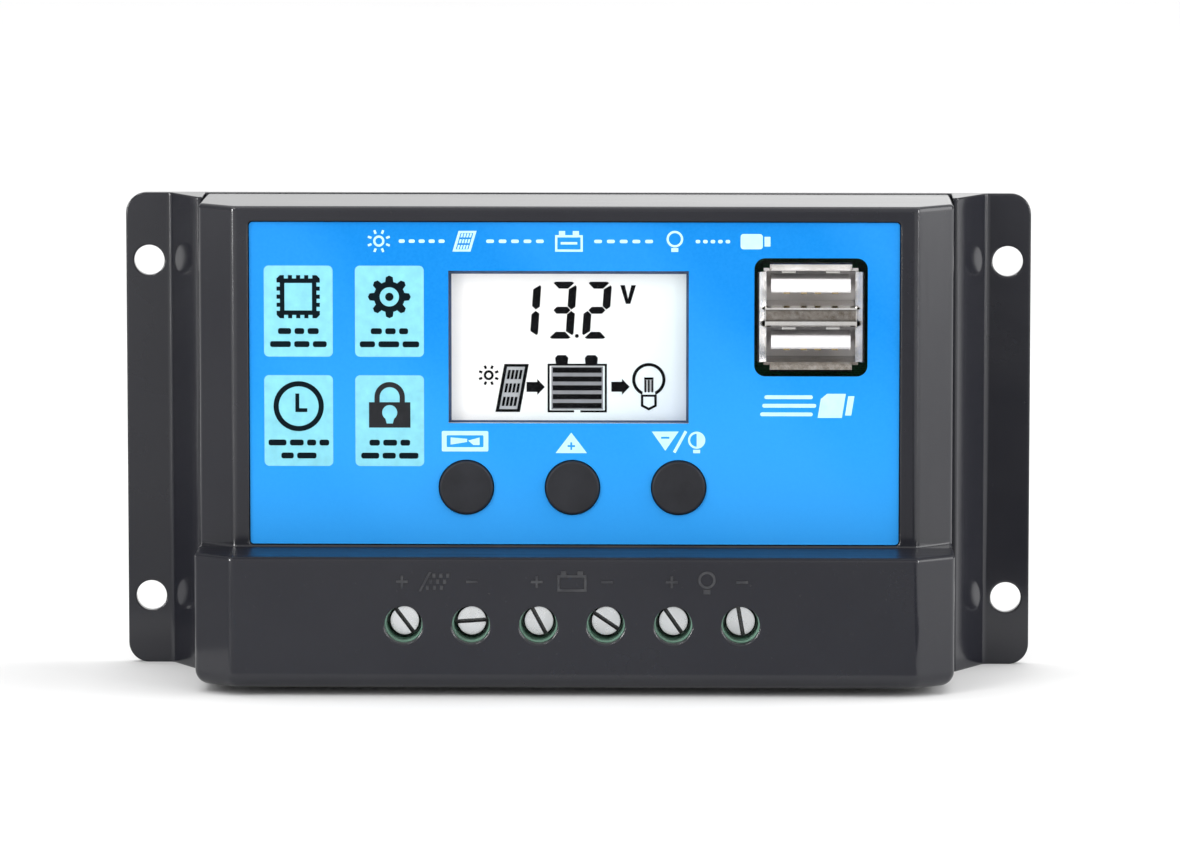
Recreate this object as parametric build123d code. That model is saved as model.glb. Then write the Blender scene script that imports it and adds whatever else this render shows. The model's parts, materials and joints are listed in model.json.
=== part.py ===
"""Solar charge controller: a wall-mounted plastic case with a display, three buttons, a
double USB socket and a six-way screw terminal block.

Frame: X to the right, Z up, the wall plane at y = 0 and the face towards -Y. The origin is
the centre of the four wall holes, on the back of the case. "h" is a height off the wall,
so a point at height h has y = -h. All sizes are in millimetres.
"""

import os

from build123d import *

# ---- Driving dimensions -------------------------------------------------------------------

# Rear base: a flat back plate whose ends are the mounting ears
CASE_WIDTH = 133.5
CASE_HEIGHT = 70.0
PLATE_THICKNESS = 1.5
EAR_CORNER = 3.0
HOLE_SPACING_X = 126.7
HOLE_SPACING_Z = 50.0
HOLE_RADIUS = 2.25
FLARE_FOOT_X = 60.1
FLARE_TOP_X = 55.7
FLARE_TOP_H = 9.2
FLARE_FILLET = 0.8
FLARE_INNER_X = 55.0
FLARE_CORE_LOW_X = 56.1
FLARE_CORE_HIGH_X = 59.3
FLARE_CORE_DEPTH = 5.0
FLARE_CORE_SPANS = ((-31.0, -1.0), (1.0, 31.0))

# Front cover: a low section that holds the label and a raised section over the terminals
COVER_HALF_WIDTH = 54.85
COVER_TOP_Z = 34.9
COVER_BOTTOM_Z = -33.9
STEP_Z = -14.7
WALL = 2.0
LABEL_SIDE_H = 18.5
LABEL_FACE_H = 23.6
LABEL_FACE_HALF_WIDTH = 49.6
TERMINAL_SIDE_H = 30.7
TERMINAL_FACE_H = 34.85
TERMINAL_FACE_HALF_WIDTH = 49.4
SYMBOL_TOP_H = 35.0
SYMBOL_Z = -18.2
SYMBOL_STROKE = 0.35
COVER_INNER_H = 21.4
TERMINAL_INNER_H = 33.0
EDGE_ROUND = 1.4

# Label, in a shallow pocket of the cover
LABEL_WIDTH = 94.1
LABEL_HEIGHT = 46.9
LABEL_X = -0.15
LABEL_Z = 9.15
LABEL_FLOOR_H = 22.8
LABEL_THICKNESS = 0.4

# Display
DISPLAY_X = -0.97
DISPLAY_Z = 14.45
DISPLAY_WIDTH = 34.8
DISPLAY_HEIGHT = 22.2
LENS_MARGIN = 0.9
LENS_THICKNESS = 1.2
GLASS_WIDTH = 41.0
GLASS_HEIGHT = 25.6
GLASS_THICKNESS = 1.1
GLASS_LEDGE = 1.2
POLARISER_INSET = 0.3
PIN_HOOK = 0.9
POLARISER_THICKNESS = 0.2
BACKLIGHT_THICKNESS = 3.2
FRAME_WIDTH = 45.0
FRAME_HEIGHT = 30.0
FRAME_WALL = 1.2
FRAME_LEDGE = 1.6
FRAME_FOOT_HEIGHT = 1.4
FRAME_FOOT_LENGTH = 3.0
DISPLAY_STACK_H = 15.6
DISPLAY_PINS = 12
DISPLAY_PIN_PITCH = 2.54

# Buttons and their tact switches
BUTTON_X = {"menu": -15.8, "up": -0.4, "down": 15.0}
BUTTON_Z = -6.0
BUTTON_RADIUS = 3.9
BUTTON_PROUD = 0.6
BUTTON_FLANGE_RADIUS = 4.6
BUTTON_FLANGE_H = 20.3
BUTTON_FLANGE_THICKNESS = 0.8
BUTTON_STEM_RADIUS = 2.6
PLUNGER_RADIUS = 1.7
PLUNGER_TOP_H = 19.4
SWITCH_SIZE = 6.2
SWITCH_HEIGHT = 3.0

# Circuit board
BOARD_HALF_WIDTH = 51.5
BOARD_TOP_Z = 32.0
BOARD_BOTTOM_Z = -31.2
BOARD_BACK_H = 9.6
BOARD_THICKNESS = 1.6
BOARD_FRONT_H = BOARD_BACK_H + BOARD_THICKNESS
PIN_TAIL = 1.6

# Screws that hold the case together, and the two that hold the board
CASE_SCREWS = [(-47.2, 28.6), (47.2, 28.6), (-47.2, -27.6), (47.2, -27.6)]
CASE_SCREW_RADIUS = 1.45
CASE_SCREW_LENGTH = 14.0
CASE_SCREW_HEAD = 2.9
CASE_SCREW_SEAT_H = 3.0
POST_RADIUS = 4.2
BOSS_RADIUS = 3.0
BOARD_SCREWS = [(-27.0, -12.0), (27.0, -12.0)]
BOARD_SCREW_RADIUS = 1.2
BOARD_POST_RADIUS = 2.8

# Terminal block, with a rising cage clamp in each of its six ways
WAYS = 6
WAY_PITCH = 9.7
WAYS_X = -0.25
SCREW_Z = -24.5
BLOCK_BOTTOM_Z = -31.7
BLOCK_TOP_Z = -16.8
BLOCK_TOP_H = 32.8
BLOCK_END_WALL = 0.5
CHAMBER_HALF_WIDTH = 4.0
CHAMBER_TOP_H = 26.2
CHAMBER_BACK_Z = -20.0
CHAMBER_FRONT_Z = -29.5
ENTRY_HALF_WIDTH = 2.9
ENTRY_LOW_H = 13.4
ENTRY_HIGH_H = 18.6
SCREW_SHAFT_RADIUS = 1.95
SCREW_HEAD_RADIUS = 2.25
SCREW_HEAD_TOP_H = 30.2
SCREW_HEAD_THICKNESS = 2.4
SCREW_TIP_H = 19.7
SCREW_SLOT = 0.6
SCREW_SLOT_DEPTH = 1.1
SCREW_SLOT_ANGLES = [-53, 4, -62, -34, -55, -80]
ACCESS_HOLE_RADIUS = 2.75
COVER_ENTRY_HALF_WIDTH = 3.3
CAGE_WIDTH = 7.4
CAGE_SIDE = 0.8
CAGE_BOTTOM_H = 12.7
CAGE_TOP_H = 22.1
CAGE_FLOOR = 1.0
CAGE_ROOF = 1.8
CAGE_FRONT_Z = -29.0
CAGE_BACK_Z = -20.4
BAR_HALF_WIDTH = 2.6
BAR_LOW_H = 18.2
BAR_THICKNESS = 1.2
BAR_FRONT_Z = -28.6
BAR_BACK_Z = -18.4
TAB_HALF_WIDTH = 1.5
TAB_THICKNESS = 1.0
FIT = 0.05

# Double USB-A socket
USB_X = 34.1
USB_Z = 18.85
USB_INNER_WIDTH = 12.9
PORT_HEIGHT = 5.1
PORT_PITCH = 8.2
USB_WALL = 0.4
USB_FRONT_H = 22.7
USB_FLARE = 1.0
USB_LIP_STEP = 0.28
USB_LIP_ROOT = 0.6
RIDGE_LIP_LOW_Z = -1.2
RIDGE_LIP_HIGH_Z = -0.65
RIDGE_DIP = 0.75
RIDGE_EDGE_Z = 1.05
RIDGE_EDGE_WIDTH = 0.25
RIDGE_EDGE_DROP = 0.3
USB_BASE_THICKNESS = 2.0
USB_OPENING_WIDTH = 16.4
USB_OPENING_HEIGHT = 17.2
USB_OPENING_CORNER = 1.6
TONGUE_WIDTH = 11.5
TONGUE_THICKNESS = 1.9
TONGUE_OFFSET = 0.35
TONGUE_FRONT_H = 21.9
USB_CONTACT_X = [-3.5, -1.0, 1.0, 3.5]

# Power stage on the back of the board
SPREADER_HALF_WIDTH = 30.0
SPREADER_LOW_Z = 11.0
SPREADER_HIGH_Z = 31.0
SPREADER_THICKNESS = 2.0
SPREADER_PEG_X = SPREADER_HALF_WIDTH - 3.0
SPREADER_PEG_Z = 21.0
SPREADER_PEG_RADIUS = 1.25
PAD_THICKNESS = 0.3
PAD_HALF_WIDTH = 24.7
MOSFET_X = [-19.5, -6.5, 6.5, 19.5]
MOSFET_WIDTH = 10.0
MOSFET_BODY_LOW_Z = 14.5
MOSFET_BODY_HIGH_Z = 23.7
MOSFET_TAB_HIGH_Z = 30.0
MOSFET_SCREW_Z = 27.0
MOSFET_THICKNESS = 4.5
MOSFET_TAB_THICKNESS = 1.3
MOSFET_LEAD_PITCH = 2.54

CLEAR = 0.1


# ---- Helpers ------------------------------------------------------------------------------


def slab(x0, x1, h0, h1, z0, z1):
    """A block between two corners, given as x, height off the wall and z."""
    centre = ((x0 + x1) / 2, -(h0 + h1) / 2, (z0 + z1) / 2)
    return Pos(*centre) * Box(x1 - x0, h1 - h0, z1 - z0)


def pillar(x, z, radius, h0, h1):
    """A round post that stands out of the wall plane."""
    return Pos(x, -(h0 + h1) / 2, z) * Rot(90, 0, 0) * Cylinder(radius, h1 - h0)


def rod_z(x, h, radius, z0, z1):
    """A round bar that runs up the wall."""
    return Pos(x, -h, (z0 + z1) / 2) * Cylinder(radius, z1 - z0)


def panel(sketch, h0, h1):
    """A face drawn as seen from the front, pulled from height h0 to h1."""
    return extrude(Plane.XZ.offset(h0) * sketch, amount=h1 - h0)


def column(sketch, z0, z1):
    """A cross-section drawn with x across and h up, pulled along the wall."""
    section = Plane(origin=(0, 0, z1), x_dir=(1, 0, 0), z_dir=(0, 0, -1))
    return extrude(section * sketch, amount=z1 - z0)


def outline(points):
    """A closed flat face through the points."""
    return make_face(Polyline(*points, close=True))


def rounded_rectangle(x, z, width, height, radius):
    return Pos(x, z) * RectangleRounded(width, height, radius)


def way_x(way):
    """The screw axis of one terminal way, counted from 0."""
    return WAYS_X + (way - (WAYS - 1) / 2) * WAY_PITCH


def cross_recess(x, z, h0, h1, width=0.7, length=3.2):
    """The cross slot of a screw head."""
    half, arm = width / 2, length / 2
    across = slab(x - arm, x + arm, h0, h1, z - half, z + half)
    upright = slab(x - half, x + half, h0, h1, z - arm, z + arm)
    return across + upright


# ---- Case ---------------------------------------------------------------------------------


def flare_core(side, z0, z1):
    """The three-sided hollow behind a flare, open at the back, which keeps its wall thin."""
    lean = (FLARE_CORE_HIGH_X - FLARE_CORE_LOW_X) / FLARE_CORE_DEPTH
    points = [
        (side * FLARE_CORE_LOW_X, -1),
        (side * (FLARE_CORE_HIGH_X + lean), -1),
        (side * FLARE_CORE_LOW_X, FLARE_CORE_DEPTH),
    ]
    return column(outline(points), z0, z1)


def rear_base():
    half = CASE_WIDTH / 2
    points = [
        (-half, 0),
        (half, 0),
        (half, PLATE_THICKNESS),
        (FLARE_FOOT_X, PLATE_THICKNESS),
        (FLARE_TOP_X, FLARE_TOP_H),
        (FLARE_INNER_X, FLARE_TOP_H),
        (FLARE_INNER_X, PLATE_THICKNESS),
        (-FLARE_INNER_X, PLATE_THICKNESS),
        (-FLARE_INNER_X, FLARE_TOP_H),
        (-FLARE_TOP_X, FLARE_TOP_H),
        (-FLARE_FOOT_X, PLATE_THICKNESS),
        (-half, PLATE_THICKNESS),
    ]
    section = outline(points)
    feet = [v for v in section.vertices() if abs(abs(v.X) - FLARE_FOOT_X) < 0.01]
    section = fillet(feet, FLARE_FILLET)
    rims = [v for v in section.vertices() if abs(abs(v.X) - FLARE_TOP_X) < 0.01]
    section = fillet(rims, 0.25)
    base = column(section, -CASE_HEIGHT / 2, CASE_HEIGHT / 2)
    ends = [e for e in base.edges().filter_by(Axis.Y) if abs(abs(e.center().X) - half) < 0.01]
    base = fillet(ends, EAR_CORNER)
    for side in (-1, 1):
        for z0, z1 in FLARE_CORE_SPANS:
            base -= flare_core(side, z0, z1)
    for x in (-HOLE_SPACING_X / 2, HOLE_SPACING_X / 2):
        for z in (-HOLE_SPACING_Z / 2, HOLE_SPACING_Z / 2):
            base -= pillar(x, z, HOLE_RADIUS, -1, PLATE_THICKNESS + 2)
    for x, z in CASE_SCREWS:
        base += pillar(x, z, POST_RADIUS, 1, BOARD_BACK_H)
        base -= pillar(x, z, CASE_SCREW_HEAD + 0.4, -1, CASE_SCREW_SEAT_H)
        base -= pillar(x, z, CASE_SCREW_RADIUS + 0.25, 0, BOARD_BACK_H + 1)
    for x, z in BOARD_SCREWS:
        base += pillar(x, z, BOARD_POST_RADIUS, 1, BOARD_BACK_H)
        base -= pillar(x, z, BOARD_SCREW_RADIUS + 0.05, 3.5, BOARD_BACK_H + 1)
    spreader_top = PLATE_THICKNESS + SPREADER_THICKNESS
    for x in (-SPREADER_PEG_X, SPREADER_PEG_X):
        base += pillar(x, SPREADER_PEG_Z, SPREADER_PEG_RADIUS, 1, spreader_top + 0.2)
        base += pillar(x, SPREADER_PEG_Z, 2.2, spreader_top, spreader_top + 0.8)
    return base


def cover_profile(side_h, face_h, face_half_width, half_width, foot_h):
    """Cross-section of the cover: upright sides, a slope on each shoulder, a flat face."""
    points = [
        (-half_width, foot_h),
        (half_width, foot_h),
        (half_width, side_h),
        (face_half_width, face_h),
        (-face_half_width, face_h),
        (-half_width, side_h),
    ]
    return outline(points)


def rounded_profile(side_h, face_h, face_half_width):
    section = cover_profile(side_h, face_h, face_half_width, COVER_HALF_WIDTH, PLATE_THICKNESS)
    shoulders = [v for v in section.vertices() if v.Y > PLATE_THICKNESS + 1]
    return fillet(shoulders, EDGE_ROUND)


def plus_sign(x, z, size, stroke):
    across = Pos(x, z) * Rectangle(size, stroke)
    upright = Pos(x, z) * Rectangle(stroke, size)
    return across + upright


def panel_symbol(x, z, stroke):
    """A leaning solar panel: a frame of two slanted sides with rows of cells between."""
    lean = 0.75
    high = 1.4
    side = outline([(-lean, -high), (-lean + stroke, -high), (lean + stroke, high), (lean, high)])
    symbol = Pos(x - 1.9, z) * side
    for column_x in (-0.9, 0.1, 1.1):
        for row in (-1, 0, 1):
            cell_x = x + column_x + row * lean * 0.62
            symbol += Pos(cell_x, z + row * 0.88) * Rectangle(0.45, 0.6)
    return symbol


def battery_symbol(x, z, stroke):
    """A battery: an open box with two terminals."""
    width, height = 4.2, 2.4
    box = Rectangle(width, height) - Rectangle(width - 2 * stroke, height - 2 * stroke)
    box = Pos(x, z - 0.2) * box
    for offset in (-1.2, 1.2):
        box += Pos(x + offset, z + 1.25) * Rectangle(0.8, 0.6)
    return box


def lamp_symbol(x, z, stroke):
    """A lamp: a ring for the bulb over a short cap."""
    ring = Pos(x, z + 0.3) * (Circle(1.25) - Circle(1.25 - stroke))
    cap = Pos(x, z - 1.4) * Rectangle(1.0, 0.7)
    return ring + cap


def terminal_symbols():
    """Raised marks over the three pairs of terminals, with a plus and a minus to each."""
    marks = [panel_symbol, battery_symbol, lamp_symbol]
    sign = 1.7
    symbols = []
    for pair, mark in enumerate(marks):
        left, right = way_x(2 * pair), way_x(2 * pair + 1)
        sketch = mark((left + right) / 2, SYMBOL_Z, SYMBOL_STROKE)
        sketch += plus_sign(left - 0.2, SYMBOL_Z, sign, SYMBOL_STROKE)
        sketch += Pos(right + 0.2, SYMBOL_Z) * Rectangle(sign, SYMBOL_STROKE)
        symbols.append(panel(sketch, TERMINAL_FACE_H - 0.1, SYMBOL_TOP_H))
    return symbols


def usb_opening():
    return rounded_rectangle(USB_X, USB_Z, USB_OPENING_WIDTH, USB_OPENING_HEIGHT, USB_OPENING_CORNER)


def front_cover():
    label_profile = rounded_profile(LABEL_SIDE_H, LABEL_FACE_H, LABEL_FACE_HALF_WIDTH)
    terminal_profile = rounded_profile(TERMINAL_SIDE_H, TERMINAL_FACE_H, TERMINAL_FACE_HALF_WIDTH)
    label_part = column(label_profile, STEP_Z - 1, COVER_TOP_Z)
    top_edge = label_part.edges().filter_by(Axis.X).sort_by(Axis.Y)[:2].sort_by(Axis.Z)[-1]
    label_part = fillet(top_edge, 0.6)
    terminal_part = column(terminal_profile, COVER_BOTTOM_Z, STEP_Z)
    corners = [e for e in terminal_part.edges().filter_by(Axis.Y) if e.center().Z < COVER_BOTTOM_Z + 0.1]
    terminal_part = fillet(corners, 2.2)
    face_edges = terminal_part.edges().filter_by(Axis.X).sort_by(Axis.Y)[:2]
    terminal_part = fillet(face_edges.sort_by(Axis.Z)[-1], 0.5)
    cover = label_part + terminal_part

    slope = (LABEL_FACE_H - LABEL_SIDE_H) * 0.8
    inner = COVER_HALF_WIDTH - WALL
    open_h = PLATE_THICKNESS - 1
    for inner_h, end_z in ((COVER_INNER_H, COVER_TOP_Z), (TERMINAL_INNER_H, STEP_Z)):
        hollow = cover_profile(inner_h - slope, inner_h, inner - slope, inner, open_h)
        cover -= column(hollow, COVER_BOTTOM_Z + WALL, end_z - WALL)
    for x, z in CASE_SCREWS:
        top = COVER_INNER_H + 0.5 if z > STEP_Z else TERMINAL_INNER_H + 0.5
        cover += pillar(x, z, BOSS_RADIUS, BOARD_FRONT_H, top)
        cover -= pillar(x, z, CASE_SCREW_RADIUS + 0.03, BOARD_FRONT_H - 1, BOARD_FRONT_H + 7)

    pocket = rounded_rectangle(LABEL_X, LABEL_Z, LABEL_WIDTH + 0.3, LABEL_HEIGHT + 0.3, 0.6)
    cover -= panel(pocket, LABEL_FLOOR_H, LABEL_FACE_H + 1)
    lens = rounded_rectangle(DISPLAY_X, DISPLAY_Z, lens_width() + 0.2, lens_height() + 0.2, 0.6)
    cover -= panel(lens, COVER_INNER_H - 1, LABEL_FACE_H)
    cover -= panel(usb_opening(), COVER_INNER_H - 1, LABEL_FACE_H)
    for x in BUTTON_X.values():
        cover -= pillar(x, BUTTON_Z, BUTTON_RADIUS + 0.2, COVER_INNER_H - 1, LABEL_FACE_H)
    for way in range(WAYS):
        x = way_x(way)
        cover -= pillar(x, SCREW_Z, ACCESS_HOLE_RADIUS, TERMINAL_INNER_H - 0.1, SYMBOL_TOP_H + 1)
        entry = (ENTRY_LOW_H - 0.5, ENTRY_HIGH_H + 0.6, COVER_BOTTOM_Z - 1, COVER_BOTTOM_Z + WALL + 0.1)
        cover -= slab(x - COVER_ENTRY_HALF_WIDTH, x + COVER_ENTRY_HALF_WIDTH, *entry)
    for symbol in terminal_symbols():
        cover += symbol
    return cover


def label_overlay():
    sheet = rounded_rectangle(LABEL_X, LABEL_Z, LABEL_WIDTH, LABEL_HEIGHT, 0.5)
    sheet -= Pos(DISPLAY_X, DISPLAY_Z) * Rectangle(DISPLAY_WIDTH, DISPLAY_HEIGHT)
    sheet -= usb_opening()
    for x in BUTTON_X.values():
        sheet -= Pos(x, BUTTON_Z) * Circle(BUTTON_RADIUS + 0.15)
    return panel(sheet, LABEL_FLOOR_H, LABEL_FLOOR_H + LABEL_THICKNESS)


# ---- Display ------------------------------------------------------------------------------


def lens_width():
    return DISPLAY_WIDTH + 2 * LENS_MARGIN


def lens_height():
    return DISPLAY_HEIGHT + 2 * LENS_MARGIN


def display_window():
    sheet = rounded_rectangle(DISPLAY_X, DISPLAY_Z, lens_width(), lens_height(), 0.5)
    return panel(sheet, LABEL_FLOOR_H - LENS_THICKNESS, LABEL_FLOOR_H)


def display_sheet(h0, thickness, bottom_cut=0.0, inset=0.0):
    """One flat layer of the display, cut short at its lower edge where the pins clip on."""
    half = GLASS_WIDTH / 2 - inset
    low = DISPLAY_Z - GLASS_HEIGHT / 2 + bottom_cut + inset
    high = DISPLAY_Z + GLASS_HEIGHT / 2 - inset
    return slab(DISPLAY_X - half, DISPLAY_X + half, h0, h0 + thickness, low, high)


def display_stack():
    """The layers of the display, from the light guide to the front polariser."""
    rear_glass_h = DISPLAY_STACK_H + BACKLIGHT_THICKNESS
    front_glass_h = rear_glass_h + GLASS_THICKNESS
    polariser_h = front_glass_h + GLASS_THICKNESS
    return {
        "display_backlight": display_sheet(DISPLAY_STACK_H, BACKLIGHT_THICKNESS),
        "display_rear_glass": display_sheet(rear_glass_h, GLASS_THICKNESS),
        "display_front_glass": display_sheet(front_glass_h, GLASS_THICKNESS, GLASS_LEDGE),
        "display_polariser": display_sheet(polariser_h, POLARISER_THICKNESS, GLASS_LEDGE, POLARISER_INSET),
    }


def display_frame():
    top_h = COVER_INNER_H - CLEAR
    outer = Pos(DISPLAY_X, DISPLAY_Z) * Rectangle(FRAME_WIDTH, FRAME_HEIGHT)
    inner_half = FRAME_WIDTH / 2 - FRAME_WALL
    inner = Pos(DISPLAY_X, DISPLAY_Z) * Rectangle(2 * inner_half, FRAME_HEIGHT - 2 * FRAME_WALL)
    foot_top = BOARD_FRONT_H + FRAME_FOOT_HEIGHT
    frame = panel(outer - inner, foot_top, top_h)
    low, high = DISPLAY_Z - FRAME_HEIGHT / 2 + 1, DISPLAY_Z + FRAME_HEIGHT / 2 - 1
    for side in (-1, 1):
        edge = DISPLAY_X + side * FRAME_WIDTH / 2
        wall = edge - side * FRAME_WALL
        for z in (low, high - FRAME_FOOT_LENGTH):
            foot = (min(edge, wall), max(edge, wall), BOARD_FRONT_H, foot_top + 0.5)
            frame += slab(*foot, z, z + FRAME_FOOT_LENGTH)
        near = DISPLAY_X + side * (inner_half + 0.2)
        far = DISPLAY_X + side * (inner_half - FRAME_LEDGE)
        frame += slab(min(near, far), max(near, far), DISPLAY_STACK_H - 1, DISPLAY_STACK_H, low, high)
    return frame


def display_pin_x(pin):
    return DISPLAY_X + (pin - (DISPLAY_PINS - 1) / 2) * DISPLAY_PIN_PITCH


def display_pins():
    """Spring-clip pins that grip the ledge of the rear glass and run down to the board."""
    edge = DISPLAY_Z - GLASS_HEIGHT / 2
    ledge_h = DISPLAY_STACK_H + BACKLIGHT_THICKNESS + GLASS_THICKNESS
    pins = []
    for pin in range(DISPLAY_PINS):
        x = display_pin_x(pin)
        tail = slab(x - 0.25, x + 0.25, BOARD_BACK_H - PIN_TAIL, ledge_h + 0.25, edge - 0.75, edge - 0.3)
        hook = slab(x - 0.25, x + 0.25, ledge_h, ledge_h + 0.25, edge - 0.5, edge + PIN_HOOK)
        pins.append(tail + hook)
    return pins


# ---- Buttons ------------------------------------------------------------------------------


def button_cap(x):
    """A round key with a flange that keeps it behind the cover and a socket for the plunger."""
    top = LABEL_FLOOR_H + LABEL_THICKNESS + BUTTON_PROUD
    head = pillar(x, BUTTON_Z, BUTTON_RADIUS, BUTTON_FLANGE_H, top)
    rim = head.edges().filter_by(GeomType.CIRCLE).sort_by(Axis.Y)[0]
    head = fillet(rim, 0.35)
    flange_top = BUTTON_FLANGE_H + BUTTON_FLANGE_THICKNESS
    flange = pillar(x, BUTTON_Z, BUTTON_FLANGE_RADIUS, BUTTON_FLANGE_H, flange_top)
    stem = pillar(x, BUTTON_Z, BUTTON_STEM_RADIUS, BUTTON_FLANGE_H - 3, BUTTON_FLANGE_H + 0.5)
    socket = pillar(x, BUTTON_Z, PLUNGER_RADIUS + 0.02, BUTTON_FLANGE_H - 4, PLUNGER_TOP_H)
    return head + flange + stem - socket


def switch_plunger(x):
    foot_h = BOARD_FRONT_H + SWITCH_HEIGHT - 1.1
    shaft = pillar(x, BUTTON_Z, PLUNGER_RADIUS, foot_h, PLUNGER_TOP_H)
    return shaft + pillar(x, BUTTON_Z, 2.1, foot_h, foot_h + 0.8)


def switch_body(x):
    half = SWITCH_SIZE / 2
    top_h = BOARD_FRONT_H + SWITCH_HEIGHT
    body = slab(x - half, x + half, BOARD_FRONT_H, top_h, BUTTON_Z - half, BUTTON_Z + half)
    return body - pillar(x, BUTTON_Z, 2.45, BOARD_FRONT_H + 0.6, top_h + 1)


def switch_cover(x):
    """The sheet-metal lid of a tact switch."""
    half = SWITCH_SIZE / 2
    low_h = BOARD_FRONT_H + SWITCH_HEIGHT
    lid = slab(x - half, x + half, low_h, low_h + 0.3, BUTTON_Z - half, BUTTON_Z + half)
    return lid - pillar(x, BUTTON_Z, PLUNGER_RADIUS + 0.25, low_h - 1, low_h + 1)


def switch_dome(x):
    """The snap disc under a plunger, a shallow cap of a sphere."""
    sphere_radius = 5.2
    thickness = 0.15
    rim_radius = 2.2
    seat_h = BOARD_FRONT_H + 0.6
    rise = sphere_radius - (sphere_radius**2 - rim_radius**2) ** 0.5
    centre = Pos(x, -(seat_h + rise - sphere_radius), BUTTON_Z)
    shell = centre * (Sphere(sphere_radius) - Sphere(sphere_radius - thickness))
    return shell & pillar(x, BUTTON_Z, 3, seat_h, seat_h + 2)


# ---- Terminal block -----------------------------------------------------------------------


def terminal_housing():
    half = WAYS * WAY_PITCH / 2 + BLOCK_END_WALL
    block = slab(WAYS_X - half, WAYS_X + half, BOARD_FRONT_H, BLOCK_TOP_H, BLOCK_BOTTOM_Z, BLOCK_TOP_Z)
    seat_h = SCREW_HEAD_TOP_H - SCREW_HEAD_THICKNESS
    low = BOARD_FRONT_H - 1
    for way in range(WAYS):
        x = way_x(way)
        chamber = (x - CHAMBER_HALF_WIDTH, x + CHAMBER_HALF_WIDTH, low, CHAMBER_TOP_H)
        block -= slab(*chamber, CHAMBER_FRONT_Z, CHAMBER_BACK_Z)
        entry = (x - ENTRY_HALF_WIDTH, x + ENTRY_HALF_WIDTH, ENTRY_LOW_H, ENTRY_HIGH_H)
        block -= slab(*entry, BLOCK_BOTTOM_Z - 1, CHAMBER_FRONT_Z + 1)
        block -= pillar(x, SCREW_Z, SCREW_HEAD_RADIUS + 0.3, seat_h, BLOCK_TOP_H + 1)
        block -= pillar(x, SCREW_Z, SCREW_SHAFT_RADIUS + 0.09, CHAMBER_TOP_H - 1, seat_h + 1)
        half_bar = BAR_HALF_WIDTH + FIT
        bar = (x - half_bar, x + half_bar, BAR_LOW_H - FIT, BAR_LOW_H + BAR_THICKNESS + FIT)
        block -= slab(*bar, CHAMBER_BACK_Z - 1, BAR_BACK_Z + FIT)
        tab = (x - TAB_HALF_WIDTH - FIT, x + TAB_HALF_WIDTH + FIT, low, BAR_LOW_H + 0.2)
        block -= slab(*tab, BAR_BACK_Z - TAB_THICKNESS - FIT, BAR_BACK_Z + FIT)
    for gap in range(1, WAYS):
        x = WAYS_X + (gap - WAYS / 2) * WAY_PITCH
        groove = (x - 0.25, x + 0.25, BOARD_FRONT_H - 1, BLOCK_TOP_H + 1)
        block -= slab(*groove, BLOCK_BOTTOM_Z - 1, BLOCK_BOTTOM_Z + 0.4)
    return block


def terminal_screw(way):
    """A slotted clamp screw, held from moving along its axis by its seat in the housing."""
    x = way_x(way)
    seat_h = SCREW_HEAD_TOP_H - SCREW_HEAD_THICKNESS
    head = pillar(x, SCREW_Z, SCREW_HEAD_RADIUS, seat_h + 0.02, SCREW_HEAD_TOP_H)
    rim = head.edges().filter_by(GeomType.CIRCLE).sort_by(Axis.Y)[0]
    head = chamfer(rim, 0.2)
    shaft = pillar(x, SCREW_Z, SCREW_SHAFT_RADIUS, SCREW_TIP_H, seat_h + 1)
    slot = Box(SCREW_HEAD_RADIUS * 3, SCREW_SLOT_DEPTH * 2, SCREW_SLOT)
    turned = Pos(x, -SCREW_HEAD_TOP_H, SCREW_Z) * Rot(0, -SCREW_SLOT_ANGLES[way], 0) * slot
    return head + shaft - turned


def clamp_cage(way):
    """A rectangular ring: the screw lifts it by its threaded roof, and its floor lifts the wire."""
    x = way_x(way)
    half = CAGE_WIDTH / 2
    cage = slab(x - half, x + half, CAGE_BOTTOM_H, CAGE_TOP_H, CAGE_FRONT_Z, CAGE_BACK_Z)
    roof_h = CAGE_TOP_H - CAGE_ROOF
    window = (x - half + CAGE_SIDE, x + half - CAGE_SIDE, CAGE_BOTTOM_H + CAGE_FLOOR, roof_h)
    cage -= slab(*window, CAGE_FRONT_Z - 1, CAGE_BACK_Z + 1)
    return cage - pillar(x, SCREW_Z, SCREW_SHAFT_RADIUS + 0.08, roof_h - 1, CAGE_TOP_H + 1)


def contact_bar(way):
    """The fixed bar that the wire is pressed against, with a tab down to the board."""
    x = way_x(way)
    across = (x - BAR_HALF_WIDTH, x + BAR_HALF_WIDTH, BAR_LOW_H, BAR_LOW_H + BAR_THICKNESS)
    tab = (x - TAB_HALF_WIDTH, x + TAB_HALF_WIDTH, BOARD_BACK_H - PIN_TAIL, BAR_LOW_H + 0.5)
    return slab(*across, BAR_FRONT_Z, BAR_BACK_Z) + slab(*tab, BAR_BACK_Z - TAB_THICKNESS, BAR_BACK_Z)


# ---- USB socket ---------------------------------------------------------------------------


def port_centres():
    return (USB_Z - PORT_PITCH / 2, USB_Z + PORT_PITCH / 2)


def usb_leg_places():
    """Where the four legs of the shell go through the board."""
    half = USB_INNER_WIDTH / 2 + USB_WALL / 2
    return [(USB_X + side * half, USB_Z + offset) for side in (-1, 1) for offset in (-4.0, 4.0)]


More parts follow.
